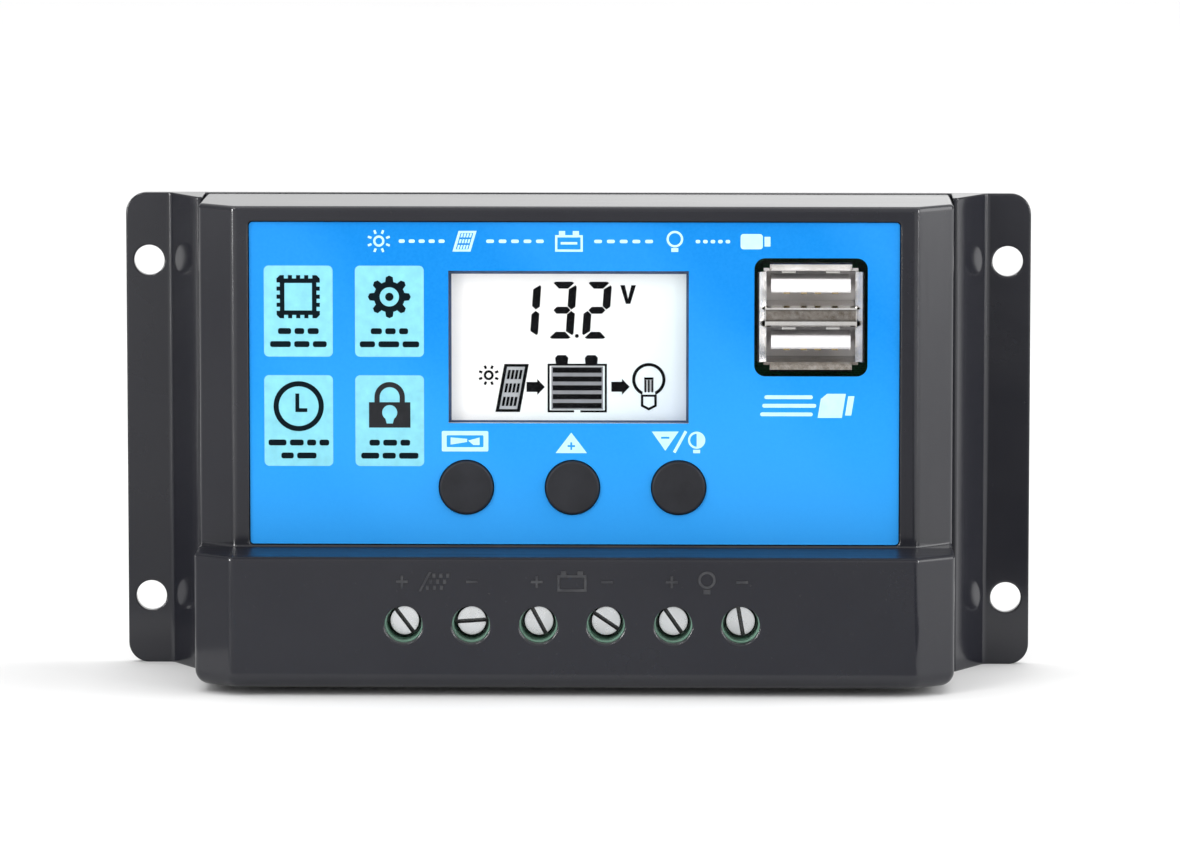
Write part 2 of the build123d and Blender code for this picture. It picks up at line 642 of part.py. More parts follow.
def usb_lip(length, along_x):
    """A lip of the shell's mouth, drawn at the origin: it leans outwards to the +z side, or to
    the +x side when it doesn't run along x."""
    root_h = USB_FRONT_H - USB_FLARE
    points = [
        (0, root_h - USB_LIP_ROOT),
        (0, root_h),
        (USB_FLARE, USB_FRONT_H),
        (USB_FLARE + USB_LIP_STEP, USB_FRONT_H - USB_LIP_STEP),
        (USB_WALL, root_h - USB_LIP_STEP / 2),
        (USB_WALL, root_h - USB_LIP_ROOT),
    ]
    lip = column(outline(points), -length / 2, length / 2)
    return Rot(0, -90, 0) * lip if along_x else lip


def usb_divider(x, z):
    """The folded ridge between the ports: a flat lip over the lower port, a shallow channel
    above it and a narrow edge under the upper port."""
    half_gap = (PORT_PITCH - PORT_HEIGHT) / 2
    root_h = USB_FRONT_H - USB_FLARE
    points = [
        (-half_gap, root_h - USB_LIP_ROOT),
        (-half_gap, root_h),
        (RIDGE_LIP_LOW_Z, USB_FRONT_H),
        (RIDGE_LIP_HIGH_Z, USB_FRONT_H),
        (RIDGE_LIP_HIGH_Z, USB_FRONT_H - RIDGE_DIP),
        (RIDGE_EDGE_Z, USB_FRONT_H - RIDGE_DIP),
        (RIDGE_EDGE_Z, USB_FRONT_H - RIDGE_EDGE_DROP),
        (RIDGE_EDGE_Z + RIDGE_EDGE_WIDTH, USB_FRONT_H - RIDGE_EDGE_DROP),
        (half_gap, root_h),
        (half_gap, root_h - USB_LIP_ROOT),
    ]
    half_width = (USB_INNER_WIDTH + USB_WALL) / 2
    ridge = column(outline(points), -half_width, half_width)
    return Pos(x, 0, z) * Rot(0, -90, 0) * ridge


def usb_shell():
    inner_half = USB_INNER_WIDTH / 2
    outer_half = inner_half + USB_WALL
    inner_high = (PORT_PITCH + PORT_HEIGHT) / 2
    outer_high = inner_high + USB_WALL
    root_h = USB_FRONT_H - USB_FLARE
    x, z = USB_X, USB_Z
    outside = (x - outer_half, x + outer_half, BOARD_FRONT_H, root_h)
    shell = slab(*outside, z - outer_high, z + outer_high)
    for port in port_centres():
        low, high = port - PORT_HEIGHT / 2, port + PORT_HEIGHT / 2
        shell -= slab(x - inner_half, x + inner_half, BOARD_FRONT_H - 1, USB_FRONT_H + 1, low, high)
    gap = (PORT_PITCH - PORT_HEIGHT) / 2 - 0.3
    between = (x - inner_half + 0.01, x + inner_half - 0.01, BOARD_FRONT_H - 1, root_h - USB_LIP_ROOT)
    shell -= slab(*between, z - gap, z + gap)
    base = (BOARD_FRONT_H - 1, BOARD_FRONT_H + USB_BASE_THICKNESS)
    shell -= slab(x - inner_half, x + inner_half, *base, z - inner_high, z + inner_high)
    shell += usb_divider(x, z)
    for side in (-1, 1):
        turn = Rot(0, 0 if side > 0 else 180, 0)
        upright = usb_lip(2 * outer_high - 1.0, False)
        across = usb_lip(2 * outer_half - 1.8, True)
        shell += Pos(x + side * inner_half, 0, z) * turn * upright
        shell += Pos(x, 0, z + side * inner_high) * turn * across
    for leg_x, leg_z in usb_leg_places():
        leg = (leg_x - 0.2, leg_x + 0.2, BOARD_BACK_H - 1.2, BOARD_FRONT_H + 1)
        shell += slab(*leg, leg_z - 0.8, leg_z + 0.8)
    for port in port_centres():
        roof = port + PORT_HEIGHT / 2
        for offset in (-3.2, 3.2):
            finger = (x + offset - 1, x + offset + 1, 17.0, 20.5)
            shell += slab(*finger, roof - 0.45, roof + 0.2)
    return shell


def usb_contacts():
    """Four strips on the lower face of each tongue, each run down through the board."""
    strips = []
    for port in port_centres():
        face = port + TONGUE_OFFSET - TONGUE_THICKNESS / 2
        for offset in USB_CONTACT_X:
            x = USB_X + offset
            strips.append(slab(x - 0.45, x + 0.45, BOARD_BACK_H - PIN_TAIL, 21.2, face - 0.25, face))
    return strips


def usb_insulator():
    inner_half = USB_INNER_WIDTH / 2
    inner_high = (PORT_PITCH + PORT_HEIGHT) / 2
    base_top = BOARD_FRONT_H + USB_BASE_THICKNESS
    x, z = USB_X, USB_Z
    body = slab(x - inner_half, x + inner_half, BOARD_FRONT_H, base_top, z - inner_high, z + inner_high)
    for port in port_centres():
        middle = port + TONGUE_OFFSET
        half = TONGUE_THICKNESS / 2
        blade = (x - TONGUE_WIDTH / 2, x + TONGUE_WIDTH / 2, base_top - 0.5, TONGUE_FRONT_H)
        tongue = slab(*blade, middle - half, middle + half)
        tip = tongue.edges().filter_by(Axis.X).sort_by(Axis.Y)[:2]
        body += chamfer(tip, 0.3)
    for strip in usb_contacts():
        body -= strip
    return body


# ---- Board and the parts on it ------------------------------------------------------------


def chip_pin_row(x, z, count, pitch, reach, along_x, side):
    """One row of gull-wing pins along a side of a chip."""
    pins = []
    low_h, high_h = BOARD_FRONT_H, BOARD_FRONT_H + 0.9
    for pin in range(count):
        shift = (pin - (count - 1) / 2) * pitch
        near, far = side * reach, side * (reach + 1.0)
        start, end = min(near, far), max(near, far)
        if along_x:
            pins.append(slab(x + shift - 0.15, x + shift + 0.15, low_h, high_h, z + start, z + end))
        else:
            pins.append(slab(x + start, x + end, low_h, high_h, z + shift - 0.15, z + shift + 0.15))
    return pins


CHIPS = {"microcontroller": (-37.0, -7.0, 3.5, 3.5, 1.6), "usb_regulator": (38.5, -9.0, 2.5, 2.0, 1.6)}


def chip(name):
    x, z, half_width, half_height, thickness = CHIPS[name]
    top = BOARD_FRONT_H + 0.2 + thickness
    return slab(x - half_width, x + half_width, BOARD_FRONT_H + 0.2, top, z - half_height, z + half_height)


def chip_pins():
    x, z, half_width, half_height, _ = CHIPS["microcontroller"]
    pins = []
    for side in (-1, 1):
        pins += chip_pin_row(x, z, 7, 0.8, half_height, True, side)
        pins += chip_pin_row(x, z, 7, 0.8, half_width, False, side)
    x, z, half_width, half_height, _ = CHIPS["usb_regulator"]
    for side in (-1, 1):
        pins += chip_pin_row(x, z, 4, 1.27, half_height, True, side)
    return pins


CAPACITORS = [(-31.5, 4.0), (-41.0, 4.0)]
CAPACITOR_Z = (7.0, 21.0)
DIODES = [(46.8, -2.0, 7.5), (46.8, 12.5, 22.0)]
DIODE_RADIUS = 2.4
INDUCTOR = (34.5, 1.5)
CHIP_RESISTORS = [(-44, -13), (-40, -15), (-33, -15), (8, -14), (20, -14), (33, -15), (43, -14)]
SHUNT_X = (-20.0, -8.0)
SHUNT_Z = -14.0


def bent_lead(x, h, z0, z1, half=0.3):
    """A square wire that leaves a part along z and turns down through the board."""
    tail = min(z0, z1) if z1 < z0 else max(z0, z1)
    run = slab(x - half, x + half, h - half, h + half, min(z0, z1), max(z0, z1))
    inner, outer = (tail, tail + 2 * half) if z1 < z0 else (tail - 2 * half, tail)
    return run + slab(x - half, x + half, BOARD_BACK_H - PIN_TAIL, h + half, inner, outer)


def capacitor_cans():
    cans = []
    for x, radius in CAPACITORS:
        h = BOARD_FRONT_H + radius + 0.1
        can = rod_z(x, h, radius, *CAPACITOR_Z)
        can = fillet(can.edges().filter_by(GeomType.CIRCLE), 0.4)
        groove = rod_z(x, h, radius + 1, CAPACITOR_Z[0] + 1.4, CAPACITOR_Z[0] + 2.2)
        groove -= rod_z(x, h, radius - 0.35, CAPACITOR_Z[0] + 1, CAPACITOR_Z[0] + 3)
        cans.append(can - groove)
    return cans


def lead_columns():
    """The x, h, start z and end z of every bent lead that goes through the board."""
    runs = []
    for x, radius in CAPACITORS:
        for offset in (-1.75, 1.75):
            runs.append((x + offset, BOARD_FRONT_H + radius + 0.1, CAPACITOR_Z[0], CAPACITOR_Z[0] - 2))
    return runs


def diode_lead_columns():
    runs = []
    for x, low, high in DIODES:
        h = BOARD_FRONT_H + DIODE_RADIUS + 0.2
        runs.append((x, h, low, low - 2))
        runs.append((x, h, high, high + 2))
    return runs


def diode_bodies():
    h = BOARD_FRONT_H + DIODE_RADIUS + 0.2
    bodies = []
    for x, low, high in DIODES:
        body = rod_z(x, h, DIODE_RADIUS, low, high)
        bodies.append(chamfer(body.edges().filter_by(GeomType.CIRCLE), 0.4))
    return bodies


def inductor_core():
    x, z = INDUCTOR
    core = pillar(x, z, 5.0, BOARD_FRONT_H, BOARD_FRONT_H + 6)
    ring = pillar(x, z, 6.0, BOARD_FRONT_H + 1, BOARD_FRONT_H + 5)
    return core - (ring - pillar(x, z, 2.8, BOARD_FRONT_H, BOARD_FRONT_H + 6))


def inductor_winding():
    x, z = INDUCTOR
    coil = pillar(x, z, 4.5, BOARD_FRONT_H + 1, BOARD_FRONT_H + 5)
    return coil - pillar(x, z, 2.8, BOARD_FRONT_H, BOARD_FRONT_H + 6)


def shunt_wire():
    """A thick bridge of resistance wire that stands on the board."""
    low, high = SHUNT_X
    top = BOARD_FRONT_H + 4
    bridge = slab(low, high, top - 1.2, top, SHUNT_Z - 0.6, SHUNT_Z + 0.6)
    for x in (low + 0.6, high - 0.6):
        bridge += slab(x - 0.6, x + 0.6, BOARD_BACK_H - PIN_TAIL, top - 0.5, SHUNT_Z - 0.6, SHUNT_Z + 0.6)
    return bridge


def chip_resistors():
    top = BOARD_FRONT_H + 0.6
    return [slab(x - 1.6, x + 1.6, BOARD_FRONT_H, top, z - 0.8, z + 0.8) for x, z in CHIP_RESISTORS]


def mosfet_lead_places():
    return [(x + step * MOSFET_LEAD_PITCH) for x in MOSFET_X for step in (-1, 0, 1)]


def main_board():
    sheet = (-BOARD_HALF_WIDTH, BOARD_HALF_WIDTH, BOARD_BACK_H, BOARD_FRONT_H)
    board = slab(*sheet, BOARD_BOTTOM_Z, BOARD_TOP_Z)
    low, high = BOARD_BACK_H - 1, BOARD_FRONT_H + 1

    def drill(x, z, radius):
        return pillar(x, z, radius, low, high)

    for x, z in CASE_SCREWS:
        board -= drill(x, z, CASE_SCREW_RADIUS + 0.25)
    for x, z in BOARD_SCREWS:
        board -= drill(x, z, BOARD_SCREW_RADIUS + 0.25)
    for way in range(WAYS):
        x = way_x(way)
        slot = (x - TAB_HALF_WIDTH - 0.2, x + TAB_HALF_WIDTH + 0.2, low, high)
        board -= slab(*slot, BAR_BACK_Z - TAB_THICKNESS - 0.2, BAR_BACK_Z + 0.2)
    for x, z in usb_leg_places():
        board -= slab(x - 0.4, x + 0.4, low, high, z - 1, z + 1)
    for strip in usb_contacts():
        centre = strip.center()
        board -= drill(centre.X, centre.Z, 0.6)
    for pin in range(DISPLAY_PINS):
        board -= drill(display_pin_x(pin), DISPLAY_Z - GLASS_HEIGHT / 2 - 0.52, 0.5)
    for x in mosfet_lead_places():
        board -= drill(x, MOSFET_BODY_LOW_Z - 2.7, 0.6)
    for x, _, start, end in lead_columns() + diode_lead_columns():
        inward = 0.35 if end < start else -0.35
        board -= drill(x, end + inward, 0.65)
    for x in (SHUNT_X[0] + 0.6, SHUNT_X[1] - 0.6):
        board -= drill(x, SHUNT_Z, 1.0)
    return board


def heat_spreader():
    low, high = PLATE_THICKNESS, PLATE_THICKNESS + SPREADER_THICKNESS
    plate = slab(-SPREADER_HALF_WIDTH, SPREADER_HALF_WIDTH, low, high, SPREADER_LOW_Z, SPREADER_HIGH_Z)
    for x in (-SPREADER_PEG_X, SPREADER_PEG_X):
        plate -= pillar(x, SPREADER_PEG_Z, SPREADER_PEG_RADIUS + 0.1, low - 1, high + 1)
    for x in MOSFET_X:
        plate -= pillar(x, MOSFET_SCREW_Z, 1.5, low - 1, high + 1)
    return plate


def thermal_pad():
    low = PLATE_THICKNESS + SPREADER_THICKNESS
    sheet = (-PAD_HALF_WIDTH, PAD_HALF_WIDTH, low, low + PAD_THICKNESS)
    pad = slab(*sheet, MOSFET_BODY_LOW_Z - 0.5, MOSFET_TAB_HIGH_Z + 0.5)
    for x in MOSFET_X:
        pad -= pillar(x, MOSFET_SCREW_Z, 1.6, low - 1, low + 1)
    return pad


MOSFET_BACK_H = PLATE_THICKNESS + SPREADER_THICKNESS + PAD_THICKNESS


def mosfet_tabs():
    tabs = []
    half = MOSFET_WIDTH / 2
    for x in MOSFET_X:
        high_h = MOSFET_BACK_H + MOSFET_TAB_THICKNESS
        tab = slab(x - half, x + half, MOSFET_BACK_H, high_h, MOSFET_BODY_LOW_Z + 1, MOSFET_TAB_HIGH_Z)
        tabs.append(tab - pillar(x, MOSFET_SCREW_Z, 1.8, MOSFET_BACK_H - 1, MOSFET_BACK_H + 3))
    return tabs


def mosfet_bodies():
    bodies = []
    half = MOSFET_WIDTH / 2
    for x in MOSFET_X:
        top = MOSFET_BACK_H + MOSFET_THICKNESS
        body = slab(x - half, x + half, MOSFET_BACK_H, top, MOSFET_BODY_LOW_Z, MOSFET_BODY_HIGH_Z)
        tab_space = (x - half - 1, x + half + 1, MOSFET_BACK_H - 1, MOSFET_BACK_H + MOSFET_TAB_THICKNESS)
        bodies.append(body - slab(*tab_space, MOSFET_BODY_LOW_Z + 1, MOSFET_TAB_HIGH_Z))
    return bodies


def mosfet_leads():
    leads = []
    lead_h = MOSFET_BACK_H + 2.6
    low_z = MOSFET_BODY_LOW_Z - 3
    for x in mosfet_lead_places():
        lead = slab(x - 0.4, x + 0.4, lead_h - 0.25, lead_h + 0.25, low_z, MOSFET_BODY_LOW_Z)
        lead += slab(x - 0.4, x + 0.4, lead_h, BOARD_FRONT_H + 1, low_z, low_z + 0.5)
        leads.append(lead)
    return leads


# ---- Fasteners ----------------------------------------------------------------------------


def case_screws():
    """Self-tapping screws from the back, through the base and board into the cover."""
    screws = []
    for x, z in CASE_SCREWS:
        head = pillar(x, z, CASE_SCREW_HEAD, CASE_SCREW_SEAT_H - 2, CASE_SCREW_SEAT_H)
        rim = head.edges().filter_by(GeomType.CIRCLE).sort_by(Axis.Y)[-1]
        head = fillet(rim, 0.8)
        tip = CASE_SCREW_SEAT_H + CASE_SCREW_LENGTH
        shaft = pillar(x, z, CASE_SCREW_RADIUS, CASE_SCREW_SEAT_H - 0.5, tip)
        screws.append(head + shaft - cross_recess(x, z, 0, CASE_SCREW_SEAT_H - 1.0))
    return screws


def small_screws(places, radius, head_radius, tip_h, seat_h, head_height):
    """Pan-head screws driven from the front, as on the board and the transistors."""
    screws = []
    for x, z in places:
        top = seat_h + head_height
        head = pillar(x, z, head_radius, seat_h, top)
        shaft = pillar(x, z, radius, tip_h, seat_h + 0.5)
        screws.append(head + shaft - cross_recess(x, z, top - 0.8, top + 1, 0.5, head_radius * 1.2))
    return screws


def board_screws():
    return small_screws(BOARD_SCREWS, BOARD_SCREW_RADIUS, 2.3, BOARD_BACK_H - 5, BOARD_FRONT_H, 1.5)


def mosfet_screws():
    seat = MOSFET_BACK_H + MOSFET_TAB_THICKNESS
    places = [(x, MOSFET_SCREW_Z) for x in MOSFET_X]
    return small_screws(places, 1.45, 2.7, PLATE_THICKNESS + 0.2, seat, 1.8)


# ---- Assembly -----------------------------------------------------------------------------


def group(pieces):
    """Separate solids of one kind, kept in one node."""
    return Compound(children=[solid for piece in pieces for solid in piece.solids()])


def all_nodes():
    nodes = {
        "rear_base": rear_base(),
        "front_cover": front_cover(),
        "label_overlay": label_overlay(),
        "display_window": display_window(),
        "display_frame": display_frame(),
        "display_pins": group(display_pins()),
        "main_board": main_board(),
        "terminal_housing": terminal_housing(),
        "contact_bars": group(contact_bar(way) for way in range(WAYS)),
        "usb_shell": usb_shell(),
        "usb_insulator": usb_insulator(),
        "usb_contacts": group(usb_contacts()),
        "switch_bodies": group(switch_body(x) for x in BUTTON_X.values()),
        "switch_covers": group(switch_cover(x) for x in BUTTON_X.values()),
        "switch_domes": group(switch_dome(x) for x in BUTTON_X.values()),
        "heat_spreader": heat_spreader(),
        "thermal_pad": thermal_pad(),
        "mosfet_bodies": group(mosfet_bodies()),
        "mosfet_tabs": group(mosfet_tabs()),
        "mosfet_leads": group(mosfet_leads()),
        "mosfet_screws": group(mosfet_screws()),
        "capacitor_cans": group(capacitor_cans()),
        "capacitor_leads": group(bent_lead(*run) for run in lead_columns()),
        "microcontroller": chip("microcontroller"),
        "usb_regulator": chip("usb_regulator"),
        "chip_pins": group(chip_pins()),
        "inductor_core": inductor_core(),
        "inductor_winding": inductor_winding(),
        "diode_bodies": group(diode_bodies()),
        "diode_leads": group(bent_lead(*run, 0.4) for run in diode_lead_columns()),
        "shunt_wire": shunt_wire(),
        "chip_resistors": group(chip_resistors()),
        "board_screws": group(board_screws()),
        "case_screws": group(case_screws()),
    }
    nodes.update(display_stack())
    for name, x in BUTTON_X.items():
        nodes[f"{name}_button"] = button_cap(x)
        nodes[f"{name}_plunger"] = switch_plunger(x)
    for way in range(WAYS):
        nodes[f"terminal_screw_{way + 1}"] = terminal_screw(way)
        nodes[f"clamp_cage_{way + 1}"] = clamp_cage(way)
    return nodes


def main():
    os.makedirs("parts", exist_ok=True)
    for name, shape in all_nodes().items():
        export_step(shape, f"parts/{name}.step")


main()
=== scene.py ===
"""Looks of the charge controller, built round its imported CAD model.

X is to the right, Z up the wall and -Y out of the wall, towards the camera. "h" is a height
off the wall plane, so a point at height h has y = -h. Places on the part and in its drawings
are in millimetres. The camera's place, the lights and the floor are in metres.
"""

import json
import math

import bmesh
import bpy
from mathutils import Matrix, Vector


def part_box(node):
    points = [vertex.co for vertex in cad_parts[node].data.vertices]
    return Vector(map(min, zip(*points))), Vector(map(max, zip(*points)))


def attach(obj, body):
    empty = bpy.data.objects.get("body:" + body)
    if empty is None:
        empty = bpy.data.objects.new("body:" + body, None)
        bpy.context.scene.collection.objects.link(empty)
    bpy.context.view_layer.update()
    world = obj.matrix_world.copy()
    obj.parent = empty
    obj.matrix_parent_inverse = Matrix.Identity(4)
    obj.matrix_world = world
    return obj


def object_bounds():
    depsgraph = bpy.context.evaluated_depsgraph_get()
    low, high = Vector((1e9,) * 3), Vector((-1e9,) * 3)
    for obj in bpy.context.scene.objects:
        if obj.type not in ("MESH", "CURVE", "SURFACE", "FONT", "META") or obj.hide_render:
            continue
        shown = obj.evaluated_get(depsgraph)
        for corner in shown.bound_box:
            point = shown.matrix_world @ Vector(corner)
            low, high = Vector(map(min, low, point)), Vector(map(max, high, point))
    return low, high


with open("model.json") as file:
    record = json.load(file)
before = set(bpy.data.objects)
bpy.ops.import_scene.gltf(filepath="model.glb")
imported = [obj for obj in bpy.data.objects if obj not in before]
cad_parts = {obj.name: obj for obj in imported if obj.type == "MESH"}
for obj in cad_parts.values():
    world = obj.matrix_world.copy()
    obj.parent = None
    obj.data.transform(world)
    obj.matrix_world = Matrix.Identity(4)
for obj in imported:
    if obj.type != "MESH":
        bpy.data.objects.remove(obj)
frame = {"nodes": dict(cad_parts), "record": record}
CAD_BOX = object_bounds()
MM = 0.001


# ---- Places, read from the frame ----------------------------------------------------------


def heights(node):
    """The lowest and highest h of a CAD node, in millimetres."""
    low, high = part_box(node)
    return -high.y / MM, -low.y / MM


LABEL_TOP = heights("label_overlay")[1]
LABEL_LOW, LABEL_HIGH = (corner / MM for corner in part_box("label_overlay"))
POLARISER_TOP = heights("display_polariser")[1]
FLOOR_Z = CAD_BOX[0].z

# The marks raised on the cover: the height of their foot, and the band that they stand in.
MARK_FOOT = heights("front_cover")[1] - 0.1
MARKS_X = (-35.0, 35.0)
MARKS_Z = (-20.6, -15.8)


# ---- Node helpers -------------------------------------------------------------------------

BLACK, WHITE = (0, 0, 0), (1, 1, 1)

# Sockets of a Mix node for each kind of value: the factor, the two values and the result.
MIX_SOCKETS = {"FLOAT": (0, 2, 3, 0), "VECTOR": (0, 4, 5, 1), "RGBA": (0, 6, 7, 2)}

# Most of a noise's values lie between these two.
NOISE_LOW, NOISE_HIGH = 0.3, 0.7

# Rays for each look round a point, in the nodes that feel for hollows and edges.
FEELERS = 8


class Nodes:
    """A node tree, with short calls to add and join nodes. Where a call takes a source, it is
    the output of another node."""

    def __init__(self, tree, coordinates):
        self.tree = tree
        self.place = self.add("ShaderNodeTexCoord").outputs[coordinates]

    def add(self, kind, values=None, **settings):
        """A new node with its settings, and with plain values on the inputs named in values."""
        node = self.tree.nodes.new(kind)
        for key, value in settings.items():
            setattr(node, key, value)
        for key, value in (values or {}).items():
            node.inputs[key].default_value = value
        return node

    def join(self, source, target):
        self.tree.links.new(source, target)

    def mapped(self, scale=1.0, turn=(0, 0, 0)):
        """The place stretched by scale, one number or three, and turned by degrees per axis."""
        stretch = scale if hasattr(scale, "__len__") else (scale,) * 3
        rotation = [math.radians(angle) for angle in turn]
        node = self.add("ShaderNodeMapping", {"Scale": stretch, "Rotation": rotation})
        self.join(self.place, node.inputs["Vector"])
        return node.outputs["Vector"]

    def along(self, axis, source=None):
        """One coordinate of the place, or of another vector."""
        node = self.add("ShaderNodeSeparateXYZ")
        self.join(self.place if source is None else source, node.inputs["Vector"])
        return node.outputs[axis]

    def noise(self, scale, detail=3.0, roughness=0.5, distortion=0.0):
        """Cloudy values round 0.5. The scale is one number or three."""
        values = {"Scale": 1.0, "Detail": detail, "Roughness": roughness, "Distortion": distortion}
        node = self.add("ShaderNodeTexNoise", values)
        self.join(self.mapped(scale), node.inputs["Vector"])
        return node.outputs["Fac"]

    def bands(self, axis, scale, distortion, detail=2.0, source=None):
        """Soft parallel bands across one axis of the place, or of another vector."""
        values = {"Scale": scale, "Distortion": distortion, "Detail": detail}
        node = self.add("ShaderNodeTexWave", values, wave_type="BANDS", bands_direction=axis)
        self.join(self.place if source is None else source, node.inputs["Vector"])
        return node.outputs["Fac"]

    def ramp(self, source, stops):
        """A colour ramp through (place, colour) stops."""
        node = self.add("ShaderNodeValToRGB")
        elements = node.color_ramp.elements
        while len(elements) < len(stops):
            elements.new(0.5)
        for element, (place, colour) in zip(elements, stops):
            element.position = place
            element.color = (*colour, 1.0)
        self.join(source, node.inputs["Fac"])
        return node.outputs["Color"]

    def ranged(self, source, start, end, low=0.0, high=1.0):
        """Maps start..end of source to low..high, and holds it at their ends outside."""
        values = {"From Min": start, "From Max": end, "To Min": low, "To Max": high}
        node = self.add("ShaderNodeMapRange", values)
        self.join(source, node.inputs["Value"])
        return node.outputs["Result"]

    def spread(self, source, low, high):
        """Maps the middle of a noise, where most of its values lie, to low..high."""
        return self.ranged(source, NOISE_LOW, NOISE_HIGH, low, high)

    def mixed(self, factor, first, second, kind="RGBA", mode="MIX"):
        """first where factor is 0 and second where it is 1, as sources or plain values."""
        node = self.add("ShaderNodeMix", data_type=kind, blend_type=mode)
        *targets, result = MIX_SOCKETS[kind]
        for target, value in zip(targets, (factor, first, second)):
            if isinstance(value, bpy.types.NodeSocket):
                self.join(value, node.inputs[target])
            else:
                plain = (*value, 1.0) if isinstance(value, tuple) else value
                node.inputs[target].default_value = plain
        return node.outputs[result]

    def times(self, first, second):
        node = self.add("ShaderNodeMath", operation="MULTIPLY")
        self.join(first, node.inputs[0])
        self.join(second, node.inputs[1])
        return node.outputs[0]

    def times_plus(self, source, factor, extra):
        """source times a plain factor, plus extra, a source or a plain value."""
        node = self.add("ShaderNodeMath", {1: factor}, operation="MULTIPLY_ADD")
        self.join(source, node.inputs[0])
        if isinstance(extra, bpy.types.NodeSocket):
            self.join(extra, node.inputs[2])
        else:
            node.inputs[2].default_value = extra
        return node.outputs[0]

    def bump(self, source, depth, strength=1.0, after=None):
        """Raises the surface by depth, in metres, where source is 1."""
        node = self.add("ShaderNodeBump", {"Strength": strength, "Distance": depth})
        self.join(source, node.inputs["Height"])
        if after is not None:
            self.join(after, node.inputs["Normal"])
        return node.outputs["Normal"]

    def hollows(self, reach):
        """0 deep in slots and corners, rising to 1 in the open, within a reach in metres."""
        node = self.add("ShaderNodeAmbientOcclusion", {"Distance": reach}, samples=FEELERS)
        return node.outputs["AO"]

    def softened(self, radius):
        """The surface's normal, rounded over within a radius, in mm, of each edge."""
        node = self.add("ShaderNodeBevel", {"Radius": radius * MM}, samples=FEELERS)
        return node.outputs["Normal"]

    def above(self, height, softness):
        """Rises from 0 to 1 where the surface stands higher off the wall than height, in mm."""
        return self.ranged(self.along("Y"), -height * MM, -(height + softness) * MM)

    def upward(self):
        """1 where the surface faces up, falling to 0 where it stands upright."""
        shape = self.add("ShaderNodeNewGeometry")
        return self.ranged(self.along("Z", shape.outputs["True Normal"]), 0.1, 0.6)

    def within(self, axis, low, high):
        """1 between two places along an axis, in mm, and 0 outside them."""
        middle, half = (low + high) / 2 * MM, (high - low) / 2 * MM
        node = self.add("ShaderNodeMath", {1: middle, 2: half}, operation="COMPARE")
        self.join(self.along(axis), node.inputs[0])
        return node.outputs[0]


class Surface(Nodes):
    """A new material with its node tree."""

    def __init__(self, name):
        self.material = bpy.data.materials.new(name)
        self.material.use_nodes = True
        super().__init__(self.material.node_tree, "Object")
        self.shader = self.tree.nodes["Principled BSDF"]

    def wear(self, colour=None, roughness=None, normal=None, **fixed):
        """Sets the shader: sources for what varies, plain values for what doesn't."""
        for key, source in (("Base Color", colour), ("Roughness", roughness), ("Normal", normal)):
            if source is not None:
                self.join(source, self.shader.inputs[key])
        for key, value in fixed.items():
            self.shader.inputs[key.replace("_", " ")].default_value = value
        return self.material


def shade(colour, factor):
    return tuple(min(1.0, c * factor) for c in colour)


# ---- Materials ----------------------------------------------------------------------------

# The case's skin: how far in from an edge it looks rounded, how high over the label its ledge
# starts, and the gloss of both.
EDGE_SOFTNESS = 0.45
LEDGE_RISE = 0.3
SKIN_ROUGHNESS = (0.10, 0.16)
LEDGE_ROUGHNESS = (0.32, 0.40)
SKIN_SPECULAR, LEDGE_SPECULAR = 0.5, 0.15


def moulded(name, colour, gloss, depth=0.000008, spread=0.12):
    """Injection-moulded plastic: a faint orange peel, fine grain and slightly uneven sheen."""
    n = Surface(name)
    cloud = n.noise(55, 4)
    grain = n.noise(900, 2)
    tone = n.ramp(cloud, [(0.3, shade(colour, 1 - spread)), (0.7, shade(colour, 1 + spread))])
    rough = n.spread(n.noise(130, 5, 0.65), gloss * 0.8, gloss * 1.25)
    peel = n.bump(n.noise(260, 2), depth * 2.5)
    return n.wear(tone, rough, n.bump(grain, depth, after=peel))


def case_black():
    """Gloss black case plastic: a mirror-like skin with faint haze, hairline scuffs and dust,
    satin on the ledge over the terminals, and paler on the raised marks, where they are worn
    and where a painted highlight makes them catch the light."""
    n = Surface("case_black")
    haze = n.noise(38, 5, 0.6)
    tone = n.ramp(haze, [(0.3, (0.0088, 0.0092, 0.0140)), (0.72, (0.0138, 0.0142, 0.0188))])
    specks = n.ramp(n.noise(2600, 1), [(0.77, BLACK), (0.82, WHITE)])
    tone = n.mixed(specks, tone, (0.035, 0.035, 0.036))
    # Paler on the raised marks: wear, and a painted highlight that makes them catch the light.
    worn_and_highlight = n.times(n.above(MARK_FOOT, 0.05), n.spread(n.noise(420, 3, 0.6), 0.15, 1.0))
    tone = n.mixed(worn_and_highlight, tone, (0.052, 0.053, 0.056))
    scuff = n.noise((35, 1400, 60), 3, 0.7, 0.6)
    ledge = n.times(n.above(LABEL_TOP + LEDGE_RISE, 0.4), n.upward())
    skin_rough, ledge_rough = n.spread(scuff, *SKIN_ROUGHNESS), n.spread(scuff, *LEDGE_ROUGHNESS)
    rough = n.mixed(ledge, skin_rough, ledge_rough, "FLOAT")
    shine = n.spread(ledge, SKIN_SPECULAR, LEDGE_SPECULAR)
    n.join(shine, n.shader.inputs["Specular IOR Level"])
    crisp = n.times(n.within("X", *MARKS_X), n.within("Z", *MARKS_Z))
    shape = n.add("ShaderNodeNewGeometry").outputs["Normal"]
    edges = n.mixed(crisp, n.softened(EDGE_SOFTNESS), shape, "VECTOR")
    peel = n.bump(n.noise(150, 2), 0.00001, 0.5, after=edges)
    grain = n.bump(n.noise(1500, 2), 0.000002, 0.5, after=peel)
    return n.wear(tone, rough, grain)


# The dull brown of painted shade on two patches of the socket's shell.
SHADE_BROWN = (0.20, 0.17, 0.14)
# How shut in a point must be before painted shade darkens it.
SHADE_AND_TARNISH_RAMP = [(0.42, WHITE), (0.86, BLACK)]


